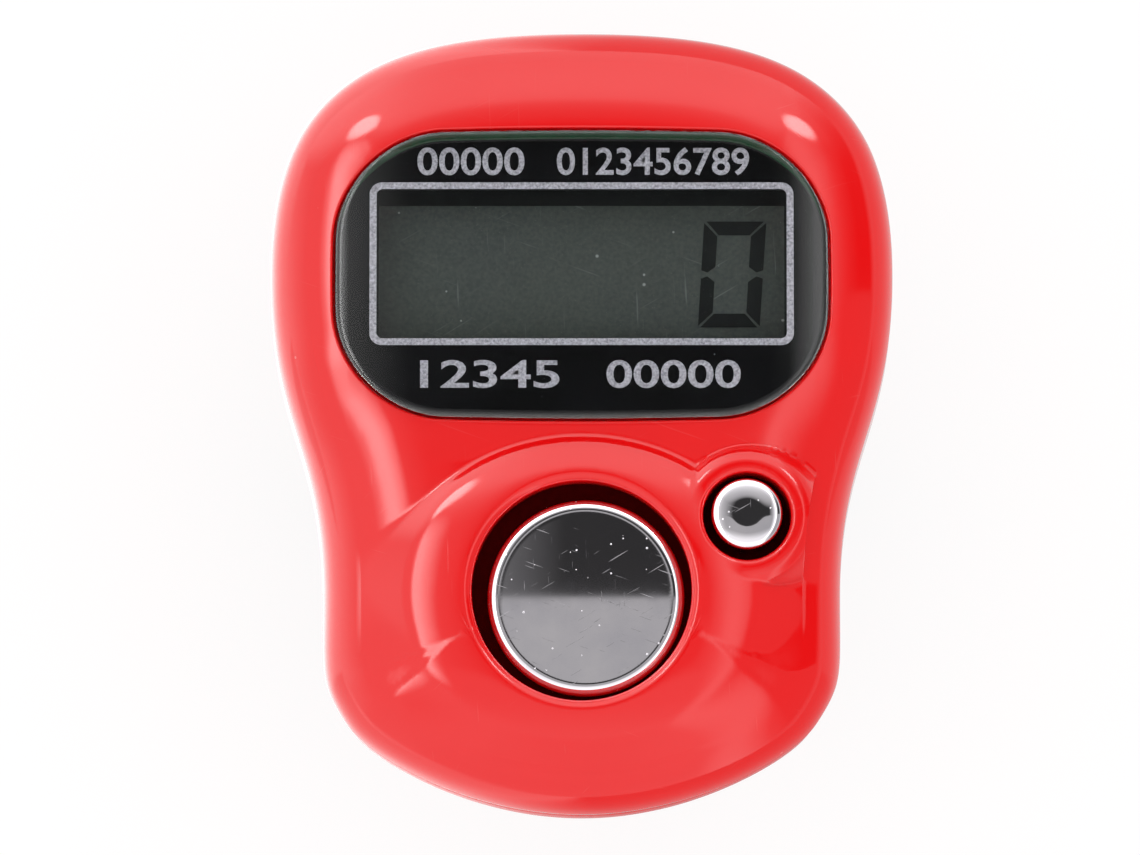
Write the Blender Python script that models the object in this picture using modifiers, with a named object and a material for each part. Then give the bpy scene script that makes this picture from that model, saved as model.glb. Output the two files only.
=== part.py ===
"""Digital finger counter.

A glossy pod with a display window, a large count button and a small reset button, worn on a finger
by a silicone band behind it. Lengths are in metres. The display faces +Z, its top edge is towards
+Y, and z = 0 is the flat underside of the band's finger loop.
"""

import bpy
import bmesh
from math import atan2, cos, pi, radians, sin
from mathutils import Matrix, Vector

# Display stack, from the visible area outwards
VIEW_WIDTH = 0.0203
VIEW_HEIGHT = 0.0069
GLASS_SIDE_BORDER = 0.00185
GLASS_END_BORDER = 0.0015
CONTACT_LEDGE = 0.0020
GLASS_THICKNESS = 0.00055
POLARISER_THICKNESS = 0.00015
POLARISER_EDGE = 0.0005
FRAME_WALL = 0.0006
FRAME_LIP = 0.0004
FRAME_CORNER = 0.0012
FRAME_LIP_REACH = 0.0008
ZEBRA_HEIGHT = 0.0022
ZEBRA_WIDTH = 0.0014
ZEBRA_LENGTH = 0.0196

# Window
PRINT_SIDE_MARGIN = 0.00227
PRINT_TOP_MARGIN = 0.00345
PRINT_BOTTOM_MARGIN = 0.00425
PRINT_THICKNESS = 0.00012
PRINT_VIEW_MARGIN = 0.00005
TAPE_THICKNESS = 0.00015
WINDOW_EDGE = 0.00125
WINDOW_CROWN = 0.00050
WINDOW_CORNER = 0.0052
WINDOW_BOW = 0.00030
WINDOW_CHAMFER = 0.00015
WINDOW_CROWN_REACH = 0.9
WINDOW_GAP = 0.00010
LEDGE_WIDTH = 0.0010
LEDGE_THICKNESS = 0.0010
COLLAR_WALL = 0.0007

# Pod outline, seen from the front
TOP_MARGIN = 0.00565
BUTTON_BRIDGE = 0.0032
BOTTOM_MARGIN = 0.00555
HEAD_CLEARANCE = 0.00165
HEAD_BELOW_WINDOW_TOP = 0.00685
WAIST_MARGIN = 0.00765
CHIN_MARGIN = 0.00635
CHIN_RISE = 0.0045
CHIN_ANGLE = radians(58.0)
CROWN_HANDLE = 0.0098
BROW_HANDLE = 0.0106
CHEEK_HANDLE = 0.0078
NECK_HANDLE = 0.0078
JAW_HANDLE = 0.0045
CHIN_UPPER_HANDLE = 0.0027
CHIN_LOWER_HANDLE = 0.0016
FOOT_HANDLE = 0.0060

# Pod section
SHELL_WALL = 0.0015
BACK_DEPTH = 0.0046
BACK_FLOOR = 0.0014
BACK_ROUND = 0.0022
BACK_ROUND_HEIGHT = 0.0026
RIM_INSET = 0.0022
CAVITY_REACH = 0.0012
RIM_RISE = 0.00075
VALLEY_WIDTH = 0.0013
VALLEY_KNEE = 0.45
VALLEY_KNEE_DROP = 0.40
SEAM_GAP = 0.0001
FIT_GAP = 0.00005

# Count button
COUNT_HOLE_RADIUS = 0.0055
COUNT_GAP = 0.00065
COUNT_SHIFT_X = 0.00020
COUNT_SHIFT_Y = -0.00030
COUNT_SINK = 0.0013
COUNT_EDGE_ROUND = 0.0005
COUNT_TOP_WALL = 0.0012
COUNT_SIDE_WALL = 0.0010
COUNT_STEM_RADIUS = 0.0012
COUNT_TRAVEL = 0.0010
MOUND_SIDE = 0.0049
MOUND_END = 0.0019
MOUND_RISE = 0.0016
MOUND_WALL = 0.0022
MOUND_FOOT = -0.35
LIP_ROUND = 0.0008

# Reset button
RESET_HOLE_RADIUS = 0.0022
RESET_GAP = 0.00035
RESET_SHIFT_Y = 0.00010
RESET_PROUD = 0.00060
RESET_DOME = 0.00075
RESET_STEM_RADIUS = 0.0008
RESET_TRAVEL = 0.0007
RESET_ANGLE = radians(24.4)
BUTTON_WEB = 0.00138
RING_WIDTH = 0.00125
RING_RISE = 0.00050
RING_CROWN = ((0.25, 0.10), (0.50, 0.0), (0.80, 0.35), (1.0, 1.0))
RING_SEAT = 0.90

# Buttons alike
FLANGE_LIP = 0.00045
FLANGE_THICKNESS = 0.0008
FLANGE_GAP = 0.0001
POCKET_CLEARANCE = 0.00045
DOME_HEIGHT = 0.00265
DOME_WALL = 0.00045
DOME_FOOT = 0.0005
DOME_SHOULDER = 0.55
COUNT_DOME_RADIUS = 0.0034
RESET_DOME_RADIUS = 0.0020
PILL_RADIUS = 0.0009
RESET_PILL_RADIUS = 0.0006
PRESS_CLEARANCE = 0.0001

# Board and cell
BOARD_THICKNESS = 0.0010
BOARD_CLEARANCE = 0.0004
CELL_RADIUS = 0.0058
CELL_HEIGHT = 0.00305
CELL_STEP = 0.00025
CELL_FACE = 0.88
CELL_SHOULDER = 0.90
CELL_EDGE = 0.98
CELL_WELL_GAP = 0.00015
CELL_WELL_WALL = 0.0006
CELL_WELL_HEIGHT = 0.0018
CONTACT_SPACE = 0.0005
CLIP_THICKNESS = 0.0002
CLIP_WIDTH = 0.0040
CLIP_FOOT = 0.0016
SPRING_THICKNESS = 0.00012
SPRING_HALF_LENGTH = 0.0036
SPRING_WIDTH = 0.0016
BLOB_RADIUS = 0.0030
BLOB_HEIGHT = 0.0009
BLOB_CROWN = ((1.0, 0.0), (0.92, 0.45), (0.60, 0.85), (0.0, 1.0))
CAPACITOR_SIZE = (0.0020, 0.0012, 0.0009)
RESISTOR_SIZE = (0.0016, 0.0008, 0.0005)
CHIP_SPACING = 0.0012

# Screws
POST_RADIUS = 0.0015
POST_INSET = 0.0026
POST_X = 0.0075
BOARD_POST_RADIUS = 0.0012
BOARD_POST_INSET = 0.0041
CASE_SCREW_RADIUS = 0.0007
CASE_SCREW_LENGTH = 0.0058
CASE_HEAD_RADIUS = 0.0013
CASE_HEAD_HEIGHT = 0.0006
CASE_HEAD_SINK = 0.0004
BOARD_SCREW_RADIUS = 0.0005
BOARD_SCREW_LENGTH = 0.0030
BOARD_HEAD_RADIUS = 0.0009
BOARD_HEAD_HEIGHT = 0.0004
SCREW_GAP = 0.0001
RECESS_DEPTH = 0.00030
RECESS_WIDTH = 0.00028
RECESS_REACH = 0.6
SCREW_POINT = 0.55
HEAD_CHAMFER_FOOT = 0.6
HEAD_CHAMFER_TOP = 0.8

# Finger band
BAND_WIDTH = 0.0090
BAND_THICKNESS = 0.00135
BAND_GAP = 0.00015
BAND_SIDE_GAP = 0.0003
BAND_Y = -0.0005
BAR_RADIUS = 0.00065
BAR_X = 0.0103
LUG_THICKNESS = 0.0012
LUG_WIDTH = 0.0022
FINGER_HEIGHT = 0.0145
BAND_FLAT = 0.0090
BAND_SIDE_HANDLE = 0.0075
BAND_FOOT_HANDLE = 0.0060
TAIL_END = 0.68
TAIL_START = 0.27
STUD_AT = 0.45
HOLE_SPACING = 0.135
HOLE_RADIUS = 0.00075
STUD_GAP = 0.0001
STUD_HEAD_RADIUS = 0.0013
STUD_HEAD_HEIGHT = 0.0004
STUD_CROWN = ((0.0, 1.0), (0.7, 0.8), (1.0, 0.3), (1.0, 0.0))
STUD_INNER_EDGE = (0.9, 0.8)

# Heights, from the floor up
BACK_Z = 2 * BAND_THICKNESS + FINGER_HEIGHT + BAND_GAP
PARTING_Z = BACK_Z + BACK_DEPTH
FLOOR_Z = BACK_Z + BACK_FLOOR
CELL_Z = FLOOR_Z + FIT_GAP
CELL_TOP_Z = CELL_Z + CELL_HEIGHT
BOARD_Z = CELL_TOP_Z + CONTACT_SPACE
BOARD_TOP_Z = BOARD_Z + BOARD_THICKNESS
FRONT_GLASS_Z = BOARD_TOP_Z + ZEBRA_HEIGHT + 2 * FIT_GAP
REAR_GLASS_Z = FRONT_GLASS_Z - FIT_GAP - GLASS_THICKNESS
REAR_POLARISER_Z = REAR_GLASS_Z - FIT_GAP - POLARISER_THICKNESS
FRONT_POLARISER_Z = FRONT_GLASS_Z + GLASS_THICKNESS + FIT_GAP
FRAME_LIP_Z = FRONT_POLARISER_Z + POLARISER_THICKNESS + FIT_GAP
FRAME_TOP_Z = FRAME_LIP_Z + FRAME_LIP
COLLAR_Z = FRAME_TOP_Z + FIT_GAP
LEDGE_Z = COLLAR_Z + LEDGE_THICKNESS
TAPE_Z = LEDGE_Z + FIT_GAP
PRINT_Z = TAPE_Z + TAPE_THICKNESS + FIT_GAP
WINDOW_Z = PRINT_Z + PRINT_THICKNESS + FIT_GAP
FACE_Z = WINDOW_Z + WINDOW_EDGE
RIM_Z = FACE_Z + RIM_RISE
CEILING_Z = FACE_Z - SHELL_WALL
MOUND_Z = FACE_Z + MOUND_RISE
MOUND_CEILING_Z = MOUND_Z - MOUND_WALL
RING_Z = FACE_Z + RING_RISE
DOME_TOP_Z = BOARD_TOP_Z + FIT_GAP + DOME_HEIGHT

# Sizes that follow from the ones above
GLASS_WIDTH = VIEW_WIDTH + 2 * GLASS_SIDE_BORDER
FRAME_WIDTH = GLASS_WIDTH + 2 * (WINDOW_GAP + FRAME_WALL)
WINDOW_WIDTH = VIEW_WIDTH + 2 * PRINT_SIDE_MARGIN
WINDOW_HEIGHT = VIEW_HEIGHT + PRINT_TOP_MARGIN + PRINT_BOTTOM_MARGIN
POD_LENGTH = TOP_MARGIN + WINDOW_HEIGHT + BUTTON_BRIDGE + 2 * COUNT_HOLE_RADIUS + BOTTOM_MARGIN
HEAD_HALF = FRAME_WIDTH / 2 + HEAD_CLEARANCE + SHELL_WALL
WAIST_HALF = COUNT_HOLE_RADIUS + WAIST_MARGIN
CHIN_HALF = COUNT_HOLE_RADIUS + CHIN_MARGIN
COUNT_FLANGE_RADIUS = COUNT_HOLE_RADIUS + FLANGE_LIP
RESET_FLANGE_RADIUS = RESET_HOLE_RADIUS + FLANGE_LIP

# Places in plan
TOP_Y = POD_LENGTH / 2
BOTTOM_Y = -POD_LENGTH / 2
WINDOW_TOP_Y = TOP_Y - TOP_MARGIN
WINDOW_Y = WINDOW_TOP_Y - WINDOW_HEIGHT / 2
VIEW_Y = WINDOW_TOP_Y - PRINT_TOP_MARGIN - VIEW_HEIGHT / 2
GLASS_TOP_Y = VIEW_Y + VIEW_HEIGHT / 2 + GLASS_END_BORDER
REAR_GLASS_BOTTOM_Y = VIEW_Y - VIEW_HEIGHT / 2 - GLASS_END_BORDER
FRONT_GLASS_BOTTOM_Y = REAR_GLASS_BOTTOM_Y - CONTACT_LEDGE
ZEBRA_Y = FRONT_GLASS_BOTTOM_Y + CONTACT_LEDGE / 2
HEAD_Y = WINDOW_TOP_Y - HEAD_BELOW_WINDOW_TOP
COUNT_Y = BOTTOM_Y + BOTTOM_MARGIN + COUNT_HOLE_RADIUS
WAIST_Y = COUNT_Y
CHIN_Y = BOTTOM_Y + CHIN_RISE
BUTTON_PITCH = COUNT_HOLE_RADIUS + BUTTON_WEB + RESET_HOLE_RADIUS
RESET_X = BUTTON_PITCH * cos(RESET_ANGLE)
RESET_Y = COUNT_Y + BUTTON_PITCH * sin(RESET_ANGLE)
BLOB_Y = VIEW_Y

# How finely curves are drawn
CROWN_POINTS = 11
CHEEK_POINTS = 9
JAW_POINTS = 5
CHIN_POINTS = 7
FLANK_STEPS = 6
ROUND_STEPS = 40
SMALL_STEPS = 20
RING_STEPS = 30
BORE_STEPS = 26
CORNER_STEPS = 7

MAIN_COLLECTION = "finger_counter"
CUTTER_COLLECTION = "finger_counter_cutters"


def clear_scene():
    """Remove every object and the collections of an earlier run."""
    for obj in list(bpy.data.objects):
        bpy.data.objects.remove(obj, do_unlink=True)
    for name in (MAIN_COLLECTION, CUTTER_COLLECTION):
        old = bpy.data.collections.get(name)
        if old:
            bpy.data.collections.remove(old)
        bpy.context.scene.collection.children.link(bpy.data.collections.new(name))


def material(name, color, roughness, metallic=0.0, transmission=0.0):
    """A plain Principled material."""
    mat = bpy.data.materials.get(name) or bpy.data.materials.new(name)
    mat.use_nodes = True
    mat.diffuse_color = (*color, 1.0)
    shader = mat.node_tree.nodes["Principled BSDF"]
    shader.inputs["Base Color"].default_value = (*color, 1.0)
    shader.inputs["Roughness"].default_value = roughness
    shader.inputs["Metallic"].default_value = metallic
    shader.inputs["Transmission Weight"].default_value = transmission
    return mat


def red_plastic():
    return material("red_plastic", (0.86, 0.01, 0.01), 0.12)


def chrome_plate():
    return material("chrome_plate", (0.80, 0.80, 0.82), 0.05, metallic=1.0)


def bright_steel():
    return material("bright_steel", (0.62, 0.62, 0.64), 0.30, metallic=1.0)


def clear_acrylic():
    return material("clear_acrylic", (0.95, 0.96, 0.95), 0.03, transmission=0.9)


def black_print():
    return material("black_print", (0.012, 0.012, 0.012), 0.25)


def display_glass():
    return material("display_glass", (0.22, 0.25, 0.22), 0.10)


def polariser_film():
    return material("polariser_film", (0.20, 0.22, 0.20), 0.35)


def black_plastic():
    return material("black_plastic", (0.03, 0.03, 0.03), 0.45)


def board_laminate():
    return material("board_laminate", (0.05, 0.22, 0.09), 0.45)


def black_silicone():
    return material("black_silicone", (0.02, 0.02, 0.02), 0.60)


def grey_silicone():
    return material("grey_silicone", (0.35, 0.35, 0.36), 0.60)


def carbon_rubber():
    return material("carbon_rubber", (0.02, 0.02, 0.02), 0.75)


def adhesive_tape():
    return material("adhesive_tape", (0.70, 0.70, 0.66), 0.60)


def ceramic_chip():
    return material("ceramic_chip", (0.45, 0.33, 0.22), 0.50)


def add_mesh(name, bm, mat, cutter=False):
    """Turn a bmesh into an object in the parts' or the cutters' collection."""
    bmesh.ops.remove_doubles(bm, verts=bm.verts, dist=1e-7)
    bmesh.ops.recalc_face_normals(bm, faces=bm.faces)
    mesh = bpy.data.meshes.new(name)
    bm.to_mesh(mesh)
    bm.free()
    return add_object(name, mesh, mat, cutter)


def add_object(name, mesh, mat, cutter=False):
    """Put a mesh in the scene as a part, or as a cutter that isn't part of the object."""
    obj = bpy.data.objects.new(name, mesh)
    group = CUTTER_COLLECTION if cutter else MAIN_COLLECTION
    bpy.data.collections[group].objects.link(obj)
    if mat and not mesh.materials:
        mesh.materials.append(mat)
    if cutter:
        obj.hide_render = True
        obj.display_type = 'WIRE'
    return obj


def smooth(obj, angle=radians(35.0)):
    """Shade a round piece smooth, with its true edges kept sharp."""
    obj.data.shade_smooth()
    obj.data.set_sharp_from_angle(angle=angle)


def combine(obj, other, operation):
    """Cut or join one object with another, which becomes a cutter."""
    mod = obj.modifiers.new(other.name, 'BOOLEAN')
    mod.operation = operation
    mod.solver = 'EXACT'
    mod.object = other


def cut(obj, *others):
    for other in others:
        combine(obj, other, 'DIFFERENCE')


def join(obj, *others):
    for other in others:
        combine(obj, other, 'UNION')


def loft(name, rings, mat=None, cutter=False):
    """A closed solid through rings of equal point counts, capped at both ends."""
    bm = bmesh.new()
    rows = [[bm.verts.new(point) for point in ring] for ring in rings]
    count = len(rows[0])
    for low, high in zip(rows, rows[1:]):
        for i in range(count):
            j = (i + 1) % count
            bm.faces.new((low[i], low[j], high[j], high[i]))
    bm.faces.new(rows[0])
    bm.faces.new(rows[-1])
    return add_mesh(name, bm, mat, cutter)


def plate(name, ring, low, high, mat=None, cutter=False):
    """A flat plate with the ring's outline, from one height to another."""
    rings = [[(x, y, z) for x, y in ring] for z in (low, high)]
    return loft(name, rings, mat, cutter)


def box(name, low, high, mat=None, cutter=False):
    """A box between two corners."""
    size = [b - a for a, b in zip(low, high)]
    centre = [(a + b) / 2 for a, b in zip(low, high)]
    bm = bmesh.new()
    bmesh.ops.create_cube(bm, size=1.0)
    bmesh.ops.scale(bm, vec=size, verts=bm.verts)
    bmesh.ops.translate(bm, vec=centre, verts=bm.verts)
    return add_mesh(name, bm, mat, cutter)


def rod(name, radius, low, high, x, y, mat=None, cutter=False, steps=SMALL_STEPS):
    """An upright cylinder."""
    bm = bmesh.new()
    bmesh.ops.create_cone(bm, cap_ends=True, segments=steps, radius1=radius, radius2=radius,
                          depth=high - low)
    bmesh.ops.translate(bm, vec=(x, y, (low + high) / 2), verts=bm.verts)
    return add_mesh(name, bm, mat, cutter)


def turned(name, profile, x, y, mat=None, cutter=False, steps=ROUND_STEPS):
    """A profile of radii and heights, from top to bottom, turned about an upright axis."""
    bm = bmesh.new()
    verts = [bm.verts.new((radius, 0.0, z)) for radius, z in profile]
    for a, b in zip(verts, verts[1:]):
        bm.edges.new((a, b))
    if profile[0][0] > 0.0:
        bm.edges.new((verts[-1], verts[0]))
    mesh = bpy.data.meshes.new(name)
    bm.to_mesh(mesh)
    bm.free()
    obj = add_object(name, mesh, mat, cutter)
    obj.location = (x, y, 0.0)
    screw = obj.modifiers.new("turn", 'SCREW')
    screw.steps = steps
    screw.render_steps = steps
    screw.use_merge_vertices = True
    screw.merge_threshold = 0.000005
    return obj


def curve_place(p0, p1, p2, p3, t):
    """A point on one cubic curve, and the inward side of its tangent there."""
    s = 1.0 - t
    place = [s**3 * a + 3 * s * s * t * b + 3 * s * t * t * c + t**3 * d
             for a, b, c, d in zip(p0, p1, p2, p3)]
    slope = [s * s * (b - a) + 2 * s * t * (c - b) + t * t * (d - c)
             for a, b, c, d in zip(p0, p1, p2, p3)]
    length = (slope[0] ** 2 + slope[1] ** 2) ** 0.5
    return place[0], place[1], slope[1] / length, -slope[0] / length


def curve_points(p0, p1, p2, p3, count):
    """Places along one cubic curve, without its last point."""
    return [curve_place(p0, p1, p2, p3, i / count) for i in range(count)]


def half_outline():
    """The right half of the pod's outline, from its top to its bottom, with inward normals."""
    down = (-cos(CHIN_ANGLE), -sin(CHIN_ANGLE))
    top = (0.0, TOP_Y)
    head = (HEAD_HALF, HEAD_Y)
    waist = (WAIST_HALF, WAIST_Y)
    chin = (CHIN_HALF, CHIN_Y)
    foot = (0.0, BOTTOM_Y)
    points = curve_points(top, (CROWN_HANDLE, TOP_Y), (HEAD_HALF, HEAD_Y + BROW_HANDLE), head,
                          CROWN_POINTS)
    points += curve_points(head, (HEAD_HALF, HEAD_Y - CHEEK_HANDLE),
                           (WAIST_HALF, WAIST_Y + NECK_HANDLE), waist, CHEEK_POINTS)
    above_chin = (chin[0] - down[0] * CHIN_UPPER_HANDLE, chin[1] - down[1] * CHIN_UPPER_HANDLE)
    below_chin = (chin[0] + down[0] * CHIN_LOWER_HANDLE, chin[1] + down[1] * CHIN_LOWER_HANDLE)
    points += curve_points(waist, (WAIST_HALF, WAIST_Y - JAW_HANDLE), above_chin, chin, JAW_POINTS)
    points += curve_points(chin, below_chin, (FOOT_HANDLE, BOTTOM_Y), foot, CHIN_POINTS)
    points.append((0.0, BOTTOM_Y, 0.0, 1.0))
    return points


def outline(inset=0.0):
    """The pod's whole outline, moved inwards by the inset."""
    right = half_outline()
    left = [(-x, y, -nx, ny) for x, y, nx, ny in reversed(right[1:-1])]
    return [(x + nx * inset, y + ny * inset) for x, y, nx, ny in right + left]


def outline_ring(inset, z):
    return [(x, y, z) for x, y in outline(inset)]


def inset_point(y_wanted, inset):
    """The place inside the right half at a height y, the inset away from the outline."""
    places = [(x + nx * inset, y + ny * inset) for x, y, nx, ny in half_outline()]
    return min(places, key=lambda place: abs(place[1] - y_wanted))


def inset_point_at_x(x_wanted, inset, upper):
    """The place inside the right half at a width x, the inset away from the top or bottom edge."""
    places = [(x + nx * inset, y + ny * inset) for x, y, nx, ny in half_outline()
              if (y > HEAD_Y) == upper and (upper or y < WAIST_Y)]
    return min(places, key=lambda place: abs(place[0] - x_wanted))


def rounded_rectangle(half_x, half_y, corner):
    """A rectangle about the origin with round corners and a point midway along each side."""
    corners = ((1, 1, 0.0), (-1, 1, pi / 2), (-1, -1, pi), (1, -1, 3 * pi / 2))
    points = []
    for side_x, side_y, start in corners:
        for i in range(CORNER_STEPS + 1):
            angle = start + (pi / 2) * i / CORNER_STEPS
            points.append((side_x * (half_x - corner) + corner * cos(angle),
                           side_y * (half_y - corner) + corner * sin(angle)))
        if side_x * side_y > 0:
            points.append((0.0, side_y * half_y))
        else:
            points.append((side_x * half_x, 0.0))
    return points


def window_outline(inset=0.0):
    """The window's outline: round corners and slightly bowed sides."""
    half_x = WINDOW_WIDTH / 2 - WINDOW_BOW - inset
    half_y = WINDOW_HEIGHT / 2 - WINDOW_BOW - inset
    bowed = []
    for x, y in rounded_rectangle(half_x, half_y, WINDOW_CORNER - inset):
        bow_x = WINDOW_BOW * (1.0 - (y / half_y) ** 2) * (x / half_x)
        bow_y = WINDOW_BOW * (1.0 - (x / half_x) ** 2) * (y / half_y)
        bowed.append((x + bow_x, y + bow_y + WINDOW_Y))
    return bowed


def window_ring(inset, z):
    return [(x, y, z) for x, y in window_outline(inset)]


def ellipse_ring(half_x, half_y, z):
    """A level ring round the count button's centre."""
    angles = [2 * pi * i / ROUND_STEPS for i in range(ROUND_STEPS)]
    return [(half_x * cos(a), COUNT_Y + half_y * sin(a), z) for a in angles]


def case_posts():
    """Where the four case screws stand."""
    top_x, top_y = inset_point_at_x(POST_X, POST_INSET, True)
    low_x, low_y = inset_point_at_x(POST_X, POST_INSET, False)
    return [(top_x, top_y), (-top_x, top_y), (low_x, low_y), (-low_x, low_y)]


def board_posts():
    """Where the three board screws stand: top middle, and each side of the count button."""
    side_x, side_y = inset_point(COUNT_Y - COUNT_HOLE_RADIUS / 3, BOARD_POST_INSET)
    return [(0.0, TOP_Y - BOARD_POST_INSET), (side_x, side_y), (-side_x, side_y)]


def flank_rings(inset, low, high, steps, reach):
    """Rings of the rounded side wall, from a straight foot to a level crest."""
    rings = []
    for i in range(steps + 1):
        angle = (pi / 2) * i / steps
        rings.append(outline_ring(inset + reach * (1.0 - cos(angle)), low + (high - low) * sin(angle)))
    return rings


def shell_body():
    """The front shell's outer form: side wall, rim and the lower face inside it."""
    rings = flank_rings(0.0, PARTING_Z + SEAM_GAP, RIM_Z, FLANK_STEPS, RIM_INSET)
    rings.append(outline_ring(RIM_INSET + VALLEY_WIDTH * VALLEY_KNEE,
                              RIM_Z - RIM_RISE * VALLEY_KNEE_DROP))
    rings.append(outline_ring(RIM_INSET + VALLEY_WIDTH, FACE_Z))
    return loft("front_shell", rings, red_plastic())


def mound():
    """The oval mound that turns into a round lip at the count button's hole."""
    crest = COUNT_HOLE_RADIUS + LIP_ROUND
    side = COUNT_HOLE_RADIUS + MOUND_SIDE
    end = COUNT_HOLE_RADIUS + MOUND_END
    rings = []
    for share in (MOUND_FOOT, 0.0, 0.2, 0.4, 0.6, 0.8, 1.0):
        rings.append(ellipse_ring(side + (crest - side) * share, end + (crest - end) * share,
                                  FACE_Z + MOUND_RISE * sin(share * pi / 2)))
    for angle in (radians(30.0), radians(60.0), radians(85.0)):
        radius = crest - LIP_ROUND * sin(angle)
        rings.append(ellipse_ring(radius, radius, MOUND_Z - LIP_ROUND * (1.0 - cos(angle))))
    inside = COUNT_HOLE_RADIUS - LIP_ROUND / 2
    rings.append(ellipse_ring(inside, inside, MOUND_Z - LIP_ROUND))
    return loft("mound_form", rings, cutter=True)


def reset_ring():
    """The low round ring at the reset button's hole."""
    radius = RESET_HOLE_RADIUS
    sunk = RING_Z - RING_RISE / 2
    profile = [(0.0, sunk), (radius * RING_SEAT, sunk)]
    for out, drop in RING_CROWN:
        profile.append((radius + RING_WIDTH * out, RING_Z - RING_RISE * drop))
    profile += [(radius + RING_WIDTH, FACE_Z - SHELL_WALL / 2), (0.0, FACE_Z - SHELL_WALL / 2)]
    return turned("reset_ring_form", profile, RESET_X, RESET_Y, cutter=True, steps=RING_STEPS)


def front_shell():
    """The red front half: rim, mound, ring, window seat, button holes and screw posts."""
    shell = shell_body()
    below = PARTING_Z - BACK_DEPTH / 2
    join(shell, mound(), reset_ring())
    cavity = [outline_ring(SHELL_WALL, below)]
    cavity += flank_rings(SHELL_WALL, PARTING_Z, CEILING_Z, 4, CAVITY_REACH)
    cut(shell, loft("front_cavity", cavity, cutter=True))
    collar = plate("window_collar", window_outline(-COLLAR_WALL), COLLAR_Z,
                   CEILING_Z + SHELL_WALL / 3, cutter=True)
    join(shell, collar)
    over = MOUND_Z + SHELL_WALL
    pocket = plate("window_pocket", window_outline(-WINDOW_GAP), LEDGE_Z, over, cutter=True)
    opening = plate("window_opening", window_outline(LEDGE_WIDTH), BOARD_TOP_Z, over, cutter=True)
    room = COUNT_FLANGE_RADIUS + POCKET_CLEARANCE
    stepped = [(0.0, over), (COUNT_HOLE_RADIUS, over), (COUNT_HOLE_RADIUS, MOUND_CEILING_Z),
               (room, MOUND_CEILING_Z), (room, BOARD_TOP_Z), (0.0, BOARD_TOP_Z)]
    count_bore = turned("count_bore", stepped, 0.0, COUNT_Y, cutter=True)
    reset_bore = rod("reset_bore", RESET_HOLE_RADIUS, BOARD_TOP_Z, over, RESET_X, RESET_Y,
                     cutter=True, steps=BORE_STEPS)
    cut(shell, pocket, opening, count_bore, reset_bore)
    root = CEILING_Z + SHELL_WALL / 3
    screw_reach = FLOOR_Z + CASE_SCREW_LENGTH + SHELL_WALL / 2
    for i, (x, y) in enumerate(case_posts(), 1):
        join(shell, rod(f"case_post_{i}", POST_RADIUS, PARTING_Z + 2 * SEAM_GAP, root, x, y,
                        cutter=True))
        cut(shell, rod(f"case_pilot_{i}", CASE_SCREW_RADIUS + FIT_GAP, BACK_Z, screw_reach, x, y,
                       cutter=True, steps=12))
    pilot_top = BOARD_TOP_Z + BOARD_SCREW_LENGTH
    for i, (x, y) in enumerate(board_posts(), 1):
        join(shell, rod(f"board_post_{i}", BOARD_POST_RADIUS, BOARD_TOP_Z + FIT_GAP, root, x, y,
                        cutter=True, steps=16))
        cut(shell, rod(f"board_pilot_{i}", BOARD_SCREW_RADIUS + FIT_GAP, BOARD_Z, pilot_top, x, y,
                       cutter=True, steps=12))
    smooth(shell)
    return shell


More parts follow.
